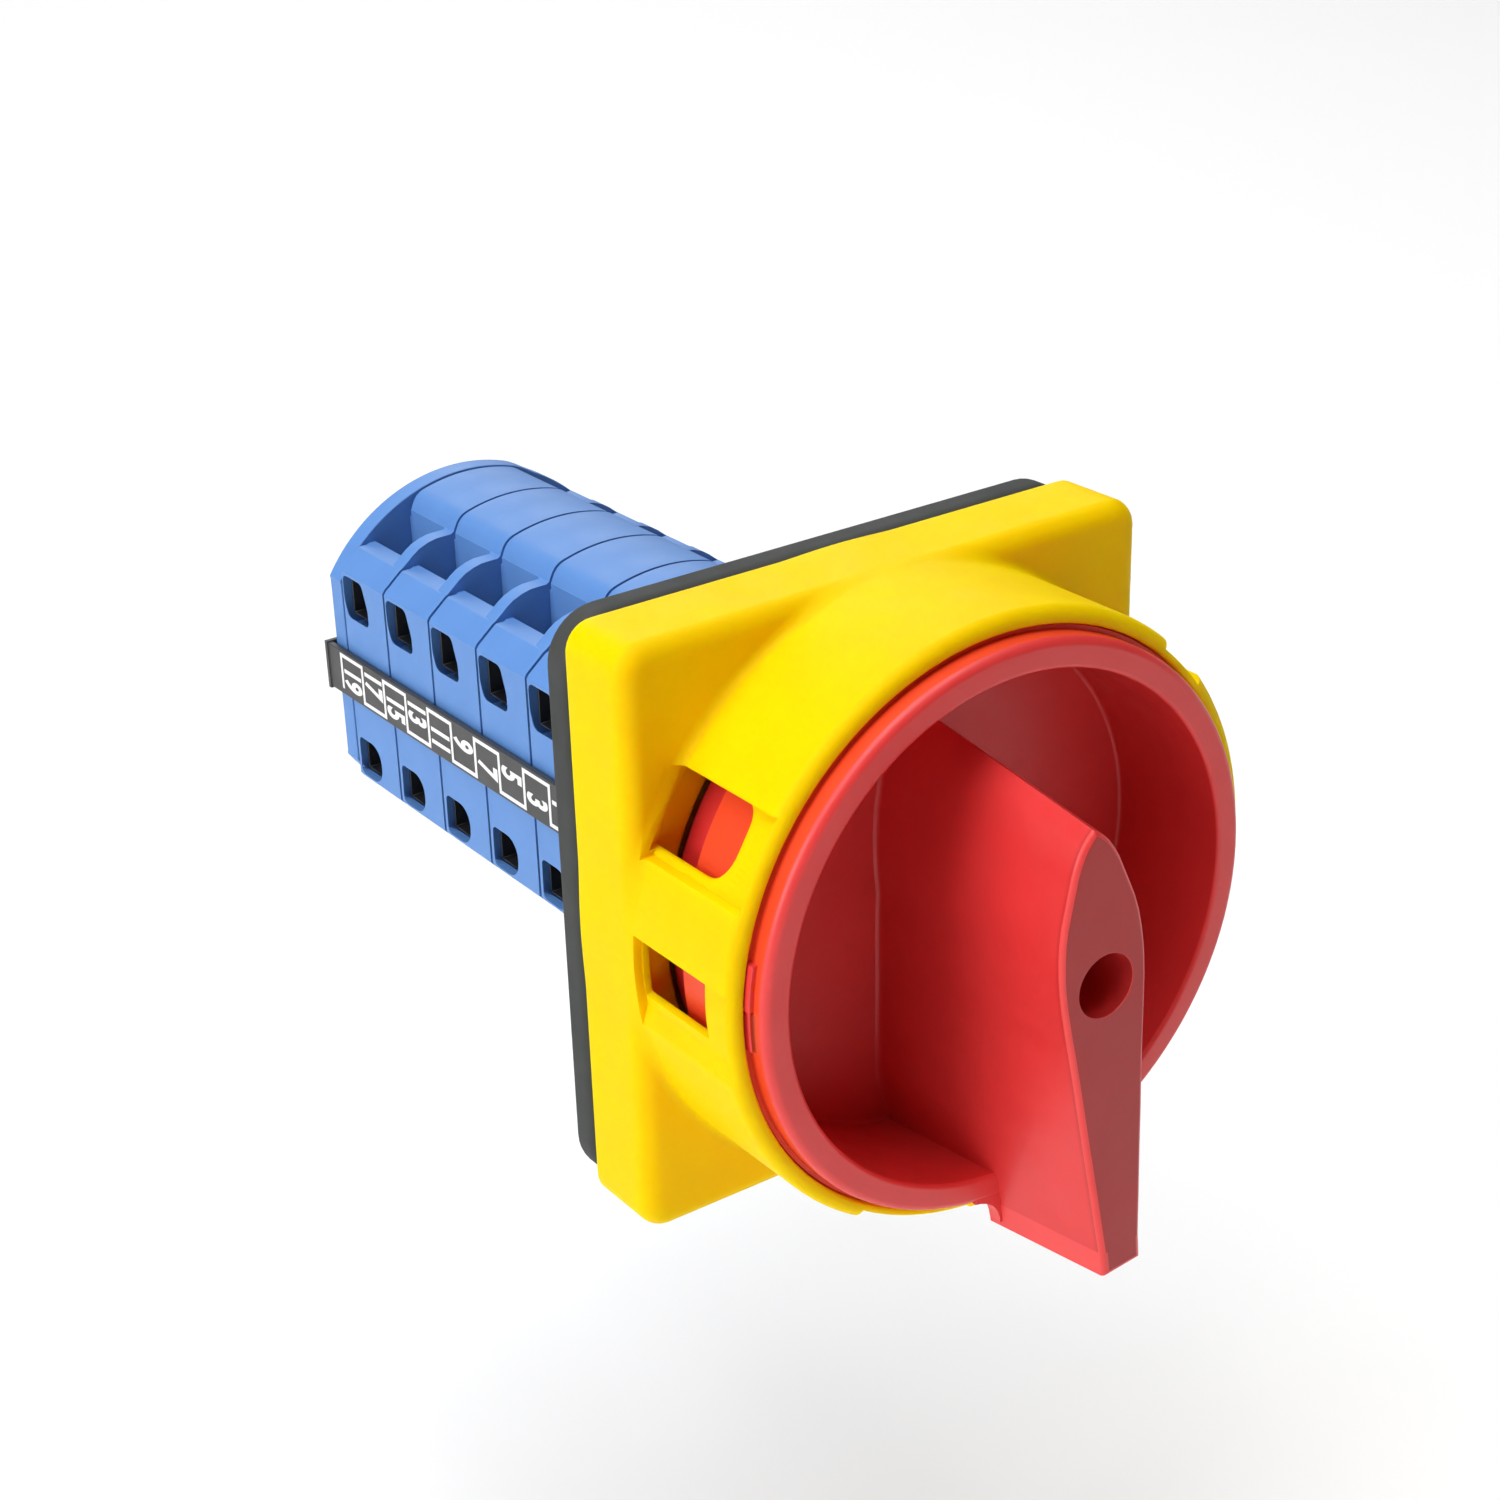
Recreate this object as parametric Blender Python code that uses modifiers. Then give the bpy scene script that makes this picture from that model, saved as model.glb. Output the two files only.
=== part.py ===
"""Changeover cam switch: square padlockable front plate, cup knob, seal frame,
indexing mechanism, five contact stages, rear cover, terminals and cams.

Frame: origin on the switch axis at the panel face (the back of the seal frame).
X to the right seen from the front, Z up, the front of the switch faces -Y.
Lengths below are millimetres; the scene is in metres.
"""
import math

import bmesh
import bpy
from mathutils import Matrix, Vector

MM = 0.001
GAP = 0.3                      # clearance between neighbouring solids

# ---- driving dimensions, mm -------------------------------------------------
PLATE = 64.0                   # front plate, square
PLATE_CORNER = 3.0
PLATE_FRONT, PLATE_BACK = -13.55, -3.9
PLATE_FLOOR = -9.9             # floor inside the collar
COLLAR_R, COLLAR_LOW_R, COLLAR_IN_R = 32.2, 31.2, 30.5
COLLAR_FRONT = -29.4
SEAL, SEAL_CORNER, SEAL_T, SEAL_HOLE_R = 63.6, 5.5, 3.6, 5.6

WINDOW_Z = (11.4, 18.7)        # padlock window
WINDOW_Y = (-24.6, -13.5)
RECESS_Z = (10.9, 19.4)        # shallow zone round the window
SLOT_Z = (-2.3, 2.0)           # small window
SLOT_Y = (-24.1, -14.5)
SLOT_MOUTH_Z = (-5.9, 2.0)
SLOT_MOUTH_Y = (-24.1, -11.1)

KNOB_RIM_R, KNOB_SIDE_R, KNOB_BOWL_R = 29.85, 29.4, 26.8
KNOB_RIM_Y, KNOB_FLOOR_Y = -31.7, -17.4
KNOB_DRUM_R, KNOB_DRUM_IN_R = 27.0, 24.5
KNOB_BACK_Y, KNOB_DRUM_Y, KNOB_HUB_Y = -14.9, -12.5, -11.0
KNOB_HUB_R = 6.5
GRIP_Y = -44.5
GRIP_END_Z = -33.4             # squared lower end of the grip
GRIP_OVERHANG_Y = -29.9        # back face of the grip beyond the rim
SCREW_HOLE_R, SCREW_HOLE_Y = 3.3, -22.0
REST_TURN = -6.0               # degrees, how the knob stands in the picture

SHAFT = 4.5                    # across flats, square
SHAFT_HOLE = 5.1
SHAFT_Y = (-18.6, 69.4)

ZC = -1.05                     # centre of the contact block, below the axis
BLOCK_R = 21.65                # hump radius
BLOCK_W = 18.2                 # half width across the flat sides
FIRST, PITCH, STAGES = 17.0, 10.6, 5
STAGE_T = 10.3
WALL_T = 2.0                   # front wall and ribs of a stage
COVER_Y = (70.0, 72.7)
MECH_Y = (3.0, 16.7)

WIRE_Z = (7.9, 12.9)           # wire opening, from the block's centre
WIRE_Y = (4.3, 9.9)            # from the stage's front
POCKET_X = (8.1, 13.1)
TERMINAL_Y = 6.8               # centre of a terminal in its stage
STRIP_Z = (6.45, 7.45)         # fixed contact, from the block's centre
STRIP_X = (4.2, 15.8)
SCREW_X, SCREW_R, HEAD_R = 10.6, 1.5, 2.2
HEAD_Z = (11.95, 13.35)

CAM_R0 = 5.28                  # cam radius under the plunger at the 0 mark
CAM_RISE = 1.6 / 120.0         # mm per degree
TURN = 60.0                    # degrees from the 0 mark to 1 and to 2
TOUCH = 0.2                    # gap left between closed contacts

BOLT_Z = 17.2                  # tie bolts, from the block's centre
BOLT_R, BOLT_HOLE_R, BOLT_HEAD_R = 1.4, 1.75, 2.8
PLATE_SCREW = ((-13.0, 12.0), (13.0, -14.1))
LABEL_Z = (-3.7, 2.1)
LABEL_Y = (17.2, 73.4)

# ---- scene and helpers ------------------------------------------------------
for old in list(bpy.data.objects):
    bpy.data.objects.remove(old, do_unlink=True)


def collection(name):
    made = bpy.data.collections.new(name)
    bpy.context.scene.collection.children.link(made)
    return made


parts = collection("changeover_cam_switch")
cutters = collection("cutters")


def material(name, rgb, rough, metal=0.0):
    made = bpy.data.materials.new(name)
    made.use_nodes = True
    shader = made.node_tree.nodes["Principled BSDF"]
    shader.inputs["Base Color"].default_value = (*rgb, 1.0)
    shader.inputs["Roughness"].default_value = rough
    shader.inputs["Metallic"].default_value = metal
    made.diffuse_color = (*rgb, 1.0)
    return made


YELLOW = material("yellow_plastic", (0.95, 0.66, 0.0), 0.35)
RED = material("red_plastic", (0.72, 0.04, 0.03), 0.4)
BLUE = material("blue_plastic", (0.12, 0.27, 0.62), 0.45)
SEAL_GREY = material("seal_rubber", (0.09, 0.09, 0.085), 0.7)
BLACK = material("label_black", (0.03, 0.03, 0.03), 0.5)
STEEL = material("steel", (0.6, 0.6, 0.6), 0.3, 1.0)
BRASS = material("brass", (0.75, 0.55, 0.25), 0.35, 1.0)
CAM_WHITE = material("cam_plastic", (0.8, 0.8, 0.76), 0.5)


def place(name, mesh, mat, home=parts):
    obj = bpy.data.objects.new(name, mesh)
    home.objects.link(obj)
    if mat is not None:
        mesh.materials.clear()
        mesh.materials.append(mat)
    if home is cutters:
        obj.hide_render = True
        obj.display_type = "WIRE"
    return obj


def finished(bm, name, mat, home, at, turn=None):
    if turn is not None:
        bmesh.ops.transform(bm, matrix=turn, verts=bm.verts)
    mesh = bpy.data.meshes.new(name)
    bm.to_mesh(mesh)
    bm.free()
    obj = place(name, mesh, mat, home)
    obj.location = Vector(at) * MM
    return obj


def box(name, lo, hi, mat=None, home=cutters):
    lo, hi = Vector(lo), Vector(hi)
    bm = bmesh.new()
    bmesh.ops.create_cube(bm, size=1.0)
    bmesh.ops.scale(bm, vec=(hi - lo) * MM, verts=bm.verts)
    return finished(bm, name, mat, home, (lo + hi) / 2)


TO_Y = Matrix.Rotation(math.radians(-90), 4, "X")
TO_X = Matrix.Rotation(math.radians(90), 4, "Y")


def rod(name, r, centre, length, axis="Y", mat=None, home=cutters, sides=32, r2=None):
    bm = bmesh.new()
    bmesh.ops.create_cone(bm, cap_ends=True, segments=sides, radius1=r * MM,
                          radius2=(r if r2 is None else r2) * MM, depth=length * MM)
    turn = {"X": TO_X, "Y": TO_Y, "Z": None}[axis]
    obj = finished(bm, name, mat, home, centre, turn)
    if home is parts:
        shade(obj)
    return obj


def shade(obj):
    obj.data.shade_smooth()
    obj.data.set_sharp_from_angle(angle=math.radians(35))


def solid(obj):
    """The evaluated object as a plain mesh in the same place."""
    graph = bpy.context.evaluated_depsgraph_get()
    graph.update()
    return bpy.data.meshes.new_from_object(obj.evaluated_get(graph))


def flat(name, loop, y0, y1, mat=None, home=cutters, along="Y"):
    """A closed outline of (x, z) points extruded from y0 to y1; along X it is (y, z) points."""
    curve = bpy.data.curves.new(name, "CURVE")
    curve.dimensions = "2D"
    curve.fill_mode = "BOTH"
    curve.extrude = abs(y1 - y0) / 2 * MM
    spline = curve.splines.new("POLY")
    spline.points.add(len(loop) - 1)
    for point, (u, v) in zip(spline.points, loop):
        point.co = (u * MM, v * MM, 0.0, 1.0)
    spline.use_cyclic_u = True
    drawn = bpy.data.objects.new(name + "_outline", curve)
    parts.objects.link(drawn)
    mesh = solid(drawn)
    bpy.data.objects.remove(drawn, do_unlink=True)
    bpy.data.curves.remove(curve)
    bm = bmesh.new()
    bm.from_mesh(mesh)
    bpy.data.meshes.remove(mesh)
    bmesh.ops.remove_doubles(bm, verts=bm.verts, dist=1e-6)
    caps = [f for f in bm.faces if len(f.verts) == 3 or abs(f.normal.z) > 0.5]
    bmesh.ops.delete(bm, geom=caps, context="FACES_ONLY")
    bmesh.ops.delete(bm, geom=[e for e in bm.edges if not e.link_faces], context="EDGES")
    bmesh.ops.edgeloop_fill(bm, edges=[e for e in bm.edges if len(e.link_faces) == 1])
    turn = Matrix.Rotation(math.radians(90), 4, "X")
    if along == "X":
        turn = Matrix.Rotation(math.radians(90), 4, "Z") @ turn
    bmesh.ops.recalc_face_normals(bm, faces=bm.faces)
    middle = (y0 + y1) / 2
    at = (middle, 0, 0) if along == "X" else (0, middle, 0)
    return finished(bm, name, mat, home, at, turn)


def turned(name, profile, mat, home=parts, steps=64):
    """A closed profile of (radius, y) points turned about the Y axis."""
    mesh = bpy.data.meshes.new(name)
    bm = bmesh.new()
    verts = [bm.verts.new((r * MM, 0.0, y * MM)) for r, y in profile]
    for i, v in enumerate(verts):
        if i + 1 < len(verts):
            bm.edges.new((v, verts[i + 1]))
        elif profile[0][0] > 0 or profile[-1][0] > 0:
            bm.edges.new((v, verts[0]))
    bm.to_mesh(mesh)
    bm.free()
    obj = place(name, mesh, mat, home)
    screw = obj.modifiers.new("Turn", "SCREW")
    screw.axis = "Z"
    screw.steps = screw.render_steps = steps
    screw.use_merge_vertices = True
    screw.merge_threshold = 1e-6
    screw.use_smooth_shade = False
    made = solid(obj)
    obj.modifiers.clear()
    bm = bmesh.new()
    bm.from_mesh(made)
    bmesh.ops.remove_doubles(bm, verts=bm.verts, dist=1e-7)
    bmesh.ops.recalc_face_normals(bm, faces=bm.faces)
    bmesh.ops.transform(bm, matrix=TO_Y, verts=bm.verts)
    bm.to_mesh(made)
    bm.free()
    made.name = name
    if mat is not None:
        made.materials.clear()
        made.materials.append(mat)
    obj.data = made
    return obj


def boolean(obj, tool, what):
    step = obj.modifiers.new(what.title(), "BOOLEAN")
    step.operation = what
    step.object = tool
    step.solver = "EXACT"
    if tool.name not in cutters.objects:
        for home in list(tool.users_collection):
            home.objects.unlink(tool)
        cutters.objects.link(tool)
    tool.hide_render = True
    tool.display_type = "WIRE"


def cut(obj, *tools):
    for tool in tools:
        boolean(obj, tool, "DIFFERENCE")


def join(obj, *tools):
    for tool in tools:
        boolean(obj, tool, "UNION")


def settle(obj):
    """Applies the object's modifiers, so that copies can share the mesh."""
    mesh = solid(obj)
    mesh.name = obj.name
    obj.modifiers.clear()
    obj.data = mesh
    shade(obj)
    return obj


def empty(name, at, turn_y=0.0):
    made = bpy.data.objects.new(name, None)
    parts.objects.link(made)
    made.empty_display_size = 0.01
    made.location = Vector(at) * MM
    made.rotation_euler = (0.0, math.radians(turn_y), 0.0)
    return made


def arc(cx, cz, r, a0, a1, n):
    return [(cx + r * math.cos(math.radians(a0 + (a1 - a0) * i / n)),
             cz + r * math.sin(math.radians(a0 + (a1 - a0) * i / n))) for i in range(n + 1)]


def rounded_square(half, r, n=5):
    k = half - r
    return (arc(k, k, r, 0, 90, n) + arc(-k, k, r, 90, 180, n)
            + arc(-k, -k, r, 180, 270, n) + arc(k, -k, r, 270, 360, n))


def both_ways(quarter):
    """A loop from its upper left quarter, given from the top centre to the left flat, about the block's centre."""
    left = quarter + [(x, -z) for x, z in reversed(quarter)]
    right = [(-x, z) for x, z in reversed(left)]
    loop = []
    for x, z in left + right:
        if z != 0 and (not loop or math.dist(loop[-1], (x, z)) > 1e-6):
            loop.append((x, z))
    if math.dist(loop[0], loop[-1]) < 1e-6:
        loop.pop()
    return [(x, z + ZC) for x, z in loop]


# ---- front plate with collar and windows ------------------------------------
front_plate = flat("front_plate", rounded_square(PLATE / 2, PLATE_CORNER), PLATE_FRONT, PLATE_BACK,
                   YELLOW, parts)
edge = front_plate.modifiers.new("Edge", "BEVEL")
edge.width = 1.0 * MM
edge.segments = 2
edge.limit_method = "ANGLE"
edge.angle_limit = math.radians(60)
collar = turned("collar", [
    (COLLAR_R - 1.3, COLLAR_FRONT), (COLLAR_R - 0.5, COLLAR_FRONT + 0.3), (COLLAR_R - 0.1, COLLAR_FRONT + 1.0),
    (COLLAR_R, COLLAR_FRONT + 2.0), (COLLAR_R, PLATE_FRONT - 0.4), (PLATE / 2 - 0.12, PLATE_FRONT + 0.9),
    (PLATE / 2 - 0.12, PLATE_FRONT + 1.6), (COLLAR_IN_R - 0.6, PLATE_FRONT + 1.6),
    (COLLAR_IN_R - 0.6, COLLAR_FRONT + 0.5), (COLLAR_IN_R + 0.4, COLLAR_FRONT),
][::-1], None, cutters, steps=72)
join(front_plate, collar)
cut(front_plate, rod("collar_bore", COLLAR_IN_R, (0, (PLATE_FLOOR - 40) / 2, 0), PLATE_FLOOR + 40, sides=72))


def recess(name, lo, hi):
    """A cutter that takes the collar down to its lower radius between two corners."""
    tool = box(name, lo, hi)
    core = rod(name + "_core", COLLAR_LOW_R, (0, -20, 0), 40, sides=72)
    boolean(tool, core, "DIFFERENCE")
    return tool


for side, mark in ((1, "left"), (-1, "right")):
    z0, z1 = sorted(z * side for z in RECESS_Z)
    x0, x1 = sorted((-34 * side, -20 * side))
    cut(front_plate, recess("recess_" + mark, (x0, -30, z0), (x1, PLATE_FRONT + 0.05, z1)))
    z0, z1 = sorted(z * side for z in WINDOW_Z)
    y0, y1 = WINDOW_Y
    r = 2.6
    loop = arc(y0 + r, z0 + r, r, 270, 180, 4) + arc(y0 + r, z1 - r, r, 180, 90, 4) + [(y1, z1), (y1, z0)]
    cut(front_plate, flat("window_" + mark, loop, x0, x1, along="X"))
    z0, z1 = sorted(z * side for z in SLOT_Z)
    cut(front_plate, box("slot_" + mark, (x0, SLOT_Y[0], z0), (x1, SLOT_Y[1], z1)))
    bm = bmesh.new()
    out, deep = 33.5, COLLAR_IN_R + 0.4
    for x, (ya, yb), (za, zb) in ((out, SLOT_MOUTH_Y, SLOT_MOUTH_Z), (deep, SLOT_Y, SLOT_Z)):
        for y in (ya, yb):
            for z in (za, zb):
                bm.verts.new((-x * side * MM, (y + (0.01 if y == ya else 0)) * MM, z * side * MM))
    bmesh.ops.convex_hull(bm, input=bm.verts)
    bmesh.ops.recalc_face_normals(bm, faces=bm.faces)
    cut(front_plate, finished(bm, "mouth_" + mark, None, cutters, (0, 0, 0)))
cut(front_plate, recess("recess_top", (21.0, -30, 18.0), (27.0, PLATE_FRONT + 0.05, 24.5)))
cut(front_plate, recess("recess_bottom", (-17.2, -30, -33), (-8.0, PLATE_FRONT + 0.05, -25)))
cut(front_plate, rod("plate_bore", 8.0, (0, -6, 0), 12))
for i, (x, z) in enumerate(PLATE_SCREW):
    cut(front_plate, rod("plate_screw_hole_%d" % (i + 1), 2.1, (x, -6, z), 12, sides=20))
shade(front_plate)

# ---- seal frame -------------------------------------------------------------
panel_seal = flat("panel_seal", rounded_square(SEAL / 2, SEAL_CORNER), -SEAL_T, 0.0, SEAL_GREY, parts)
cut(panel_seal, rod("seal_bore", SEAL_HOLE_R, (0, -2, 0), 8))
for i, (x, z) in enumerate(PLATE_SCREW):
    cut(panel_seal, rod("seal_screw_hole_%d" % (i + 1), 2.1, (x, -2, z), 8, sides=20))

# ---- block outlines, from the block's centre --------------------------------
hump = [(-x, z) for x, z in arc(0, 0, BLOCK_R, 90, 90 - 17.2, 5)]
hump += [(-7.55, 19.95), (-8.35, 18.3), (-10.8, 18.4), (-12.9, 17.65), (-14.3, 16.55)]
RIB = both_ways(hump + [(-15.7, 15.2), (-17.3, 13.0), (-BLOCK_W, 11.4)])
BODY = both_ways(hump + [(-15.3, 15.77), (-BLOCK_W, 13.4)])
FLOOR_Z = STRIP_Z[0] - GAP
POCKET = [(-POCKET_X[0], 24.0), (-POCKET_X[0], FLOOR_Z), (-16.9, FLOOR_Z), (-16.9, 12.7), (-15.0, 14.5),
          (-POCKET_X[1], 14.5), (-POCKET_X[1], 15.7), (-16.2, 15.7), (-16.2, 24.0)]
SHOULDER = [(-14.55, 16.9), (-15.7, 15.2), (-17.3, 13.0), (-18.6, 10.7), (-20.0, 10.7), (-20.0, 16.9)]
COVER = both_ways([(-x, z) for x, z in arc(0, 0, BLOCK_R - 0.1, 90, 90 - 57.0, 14)] + [(-BLOCK_W, 11.4), (-BLOCK_W, 0.0)])


def bolt_holes(obj, name, y0, y1):
    for i, z in enumerate((BOLT_Z, -BOLT_Z)):
        cut(obj, rod("%s_bolt_hole_%d" % (name, i + 1), BOLT_HOLE_R, (0, (y0 + y1) / 2, z + ZC), y1 - y0, sides=20))


# ---- indexing mechanism housing ---------------------------------------------
mech = flat("mechanism_housing", RIB, *MECH_Y, BLUE, parts)
cut(mech, box("mech_cavity", (-16.4, 4.6, -8.6), (16.4, 18.0, 8.6)))
cut(mech, rod("mech_bore", 4.6, (0, 3, 0), 6))
for i, (x, z) in enumerate(PLATE_SCREW):
    cut(mech, rod("mech_screw_hole_%d" % (i + 1), 2.1, (x, 6.0, z), 14.0, sides=20))
bolt_holes(mech, "mech", 6.0, 18.0)

# ---- stage housing, shared by the five stages -------------------------------
stage = flat("stage_housing_1", BODY, 0.0, STAGE_T, BLUE, parts)
for sx in (-1, 1):
    for sz in (-1, 1):
        tag = ("r" if sx > 0 else "l") + ("t" if sz > 0 else "b")
        cut(stage, flat("pocket_" + tag, [(-x * sx, z * sz + ZC) for x, z in POCKET], WALL_T, STAGE_T + 2),
            flat("shoulder_" + tag, [(-x * sx, z * sz + ZC) for x, z in SHOULDER], -1.0, WALL_T + 0.06))
cut(stage, box("stage_cavity", (-7.3, WALL_T, -13.05 + ZC), (7.3, STAGE_T + 1, 13.05 + ZC)))
cut(stage, rod("stage_bore", 4.6, (0, 1, 0), 4))
for sx in (-1, 1):
    for sz in (-1, 1):
        tag = ("r" if sx > 0 else "l") + ("t" if sz > 0 else "b")
        xa, xb = sorted((16.0 * sx, 19.0 * sx))
        za, zb = sorted((WIRE_Z[0] * sz, WIRE_Z[1] * sz))
        cut(stage, box("wire_" + tag, (xa, WIRE_Y[0], za + ZC), (xb, WIRE_Y[1], zb + ZC)))
        xa, xb = sorted((7.0 * sx, 8.4 * sx))
        za, zb = sorted(((STRIP_Z[0] - GAP + 0.05) * sz, (STRIP_Z[1] + GAP) * sz))
        cut(stage, box("strip_slot_" + tag, (xa, 4.1, za + ZC), (xb, 9.5, zb + ZC)))
bolt_holes(stage, "stage", -1.0, STAGE_T + 1)
settle(stage)
housings = [stage]
for k in range(2, STAGES + 1):
    housings.append(place("stage_housing_%d" % k, stage.data, None))
for k, obj in enumerate(housings):
    obj.location = (0.0, (FIRST + STAGE_T / 2 + PITCH * k) * MM, 0.0)

# ---- rear cover -------------------------------------------------------------
cover = flat("rear_cover", COVER, *COVER_Y, BLUE, parts)
bolt_holes(cover, "cover", COVER_Y[0] - 1, COVER_Y[1] + 1)

# ---- tie bolts and plate screws ---------------------------------------------


def screw(name, x, z, r, y0, y1, head_r, head_y, slot_side, mat=STEEL, slot=0.9):
    """A screw along Y: shank from y0 to y1, head between head_y, slotted on slot_side."""
    obj = rod(name, r, (x, (y0 + y1) / 2, z), abs(y1 - y0), mat=mat, home=parts, sides=16)
    head = rod(name + "_head", head_r, (x, sum(head_y) / 2, z), head_y[1] - head_y[0], sides=24)
    join(obj, head)
    y = head_y[0] if slot_side < 0 else head_y[1]
    cut(obj, box(name + "_slot", (x - head_r - 1, y - 0.8, z - slot / 2), (x + head_r + 1, y + 0.8, z + slot / 2)))
    return obj


for i, z in enumerate((BOLT_Z, -BOLT_Z)):
    screw("tie_bolt_%d" % (i + 1), 0, z + ZC, BOLT_R, 8.0, 73.5, BOLT_HEAD_R, (73.0, 75.2), 1)
for i, (x, z) in enumerate(PLATE_SCREW):
    screw("plate_screw_%d" % (i + 1), x, z, 1.75, -11.0, 12.0, 3.2, (-12.1, -10.2), -1)

# ---- number strips ----------------------------------------------------------
for sx, name in ((-1, "number_strip_left"), (1, "number_strip_right")):
    xa, xb = sorted(((BLOCK_W + GAP) * sx, (BLOCK_W + 1.0) * sx))
    strip = box(name, (xa, LABEL_Y[0], LABEL_Z[0]), (xb, LABEL_Y[1], LABEL_Z[1]), BLACK, parts)
    xa, xb = sorted(((BLOCK_W - 1.2) * sx, (BLOCK_W + 1.2) * sx))
    join(strip, box(name + "_hook", (xa, COVER_Y[1] + GAP, LABEL_Z[0] - 0.2), (xb, COVER_Y[1] + 1.5, LABEL_Z[1] + 0.3)))

# ---- terminals: fixed contact strip and clamping screw, one mesh for all ----
terminal = box("terminal_1", (-STRIP_X[1], -2.4, STRIP_Z[0]), (-STRIP_X[0], 2.4, STRIP_Z[1]), BRASS, parts)
shank = rod("terminal_shank", SCREW_R, (-SCREW_X, 0, (STRIP_Z[1] + HEAD_Z[0]) / 2), HEAD_Z[0] - STRIP_Z[1] + 1.0, axis="Z", sides=12)
head = rod("terminal_head", HEAD_R, (-SCREW_X, 0, sum(HEAD_Z) / 2), HEAD_Z[1] - HEAD_Z[0], axis="Z", sides=16)
join(terminal, shank, head)
cut(terminal, box("terminal_slot", (-SCREW_X - 3, -0.4, HEAD_Z[1] - 0.6), (-SCREW_X + 3, 0.4, HEAD_Z[1] + 1)))
settle(terminal)
terminal_mesh = terminal.data
shift = Matrix.Translation(terminal.location)
terminal_mesh.transform(shift)
bpy.data.objects.remove(terminal, do_unlink=True)
number = 0
for k in range(STAGES):
    y = FIRST + PITCH * k + TERMINAL_Y
    for turn in ((0, 0, 0), (0, 0, math.pi), (math.pi, 0, 0), (0, math.pi, 0)):
        number += 1
        obj = place("terminal_%d" % number, terminal_mesh, None)
        obj.location = (0.0, y * MM, ZC * MM)
        obj.rotation_euler = turn

# ---- rotor: knob, screw, shaft, star wheel, cams ----------------------------
axis = empty("knob_axis", (0, 0, 0), REST_TURN)

knob = turned("knob", [
    (0.0, KNOB_FLOOR_Y), (KNOB_BOWL_R - 3.0, KNOB_FLOOR_Y), (KNOB_BOWL_R - 1.0, KNOB_FLOOR_Y - 0.9),
    (KNOB_BOWL_R, KNOB_FLOOR_Y - 3.0), (KNOB_BOWL_R, KNOB_RIM_Y + 0.3), (KNOB_BOWL_R + 0.3, KNOB_RIM_Y),
    (KNOB_RIM_R - 0.6, KNOB_RIM_Y), (KNOB_RIM_R - 0.1, KNOB_RIM_Y + 0.4), (KNOB_RIM_R, KNOB_RIM_Y + 1.0),
    (KNOB_SIDE_R, KNOB_FLOOR_Y - 0.3), (KNOB_DRUM_R, KNOB_FLOOR_Y - 0.3), (KNOB_DRUM_R, KNOB_DRUM_Y),
    (KNOB_DRUM_IN_R, KNOB_DRUM_Y), (KNOB_DRUM_IN_R, KNOB_BACK_Y), (KNOB_HUB_R, KNOB_BACK_Y),
    (KNOB_HUB_R, KNOB_HUB_Y), (0.0, KNOB_HUB_Y)], RED, parts, steps=64)

# half width of the grip's front face down its height, and how its sides spread towards the floor
GRIP_FACE = ((16.4, 0.35), (14.8, 1.8), (12.8, 2.75), (10.6, 3.55), (8.0, 4.4), (4.3, 5.0), (1.0, 5.15),
             (-3.0, 4.9), (-7.6, 4.4), (-15.7, 3.7), (-23.0, 3.05), (-30.0, 2.45), (GRIP_END_Z, 2.35))


def spread(z):
    if z >= 1.0:
        return 0.0
    t = min(1.0, (1.0 - z) / 20.0)
    return 0.157 * t


def grip_ring(y):
    rise = 1.0 + 0.011 * (y - GRIP_Y)          # the crest runs outwards as it goes down
    half = []
    for z, w in GRIP_FACE:
        w = w + spread(z) * (y - GRIP_Y)
        half.append((w, z * rise if z > 1.0 else z))
    return half + [(-w, z) for w, z in reversed(half)]


levels = (GRIP_Y, -38.0, -31.0, -24.0, KNOB_FLOOR_Y + 1.2)
bm = bmesh.new()
rings = [[bm.verts.new((x * MM, y * MM, z * MM)) for x, z in grip_ring(y)] for y in levels]
for a, b in zip(rings, rings[1:]):
    n = len(a)
    for i in range(n):
        bm.faces.new((a[i], a[(i + 1) % n], b[(i + 1) % n], b[i]))
bm.faces.new(rings[0])
bm.faces.new(rings[-1][::-1])
bmesh.ops.recalc_face_normals(bm, faces=bm.faces)
grip = finished(bm, "grip", None, cutters, (0, 0, 0))
trim = turned("grip_trim", [(28.3, GRIP_OVERHANG_Y), (28.3, 0.0), (50.0, 0.0), (50.0, GRIP_OVERHANG_Y)], None, cutters, steps=64)
boolean(grip, trim, "DIFFERENCE")
join(knob, grip)
cut(knob, rod("knob_screw_hole", SCREW_HOLE_R, (0, (SCREW_HOLE_Y - 60) / 2, 0), SCREW_HOLE_Y + 60, sides=32),
    rod("knob_shank_hole", 1.9, (0, -20, 0), 10, sides=16),
    box("knob_shaft_hole", (-SHAFT_HOLE / 2, -19.0, -SHAFT_HOLE / 2), (SHAFT_HOLE / 2, 0, SHAFT_HOLE / 2)))
settle(knob)
knob.parent = axis

knob_screw = rod("knob_screw", 1.3, (0, -19.0, 0), 7.0, mat=STEEL, home=parts, sides=16)
join(knob_screw, rod("knob_screw_head", 2.9, (0, -23.3, 0), 2.0, sides=24))
cut(knob_screw, box("knob_screw_slot", (-4, -25, -0.45), (4, -23.6, 0.45)))
settle(knob_screw)
knob_screw.parent = axis

half = SHAFT / 2
shaft = box("shaft", (-half, SHAFT_Y[0], -half), (half, SHAFT_Y[1], half), STEEL, parts)
cut(shaft, rod("shaft_thread", 1.6, (0, -17.0, 0), 8.0, sides=16))
settle(shaft)
shaft.parent = axis


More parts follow.
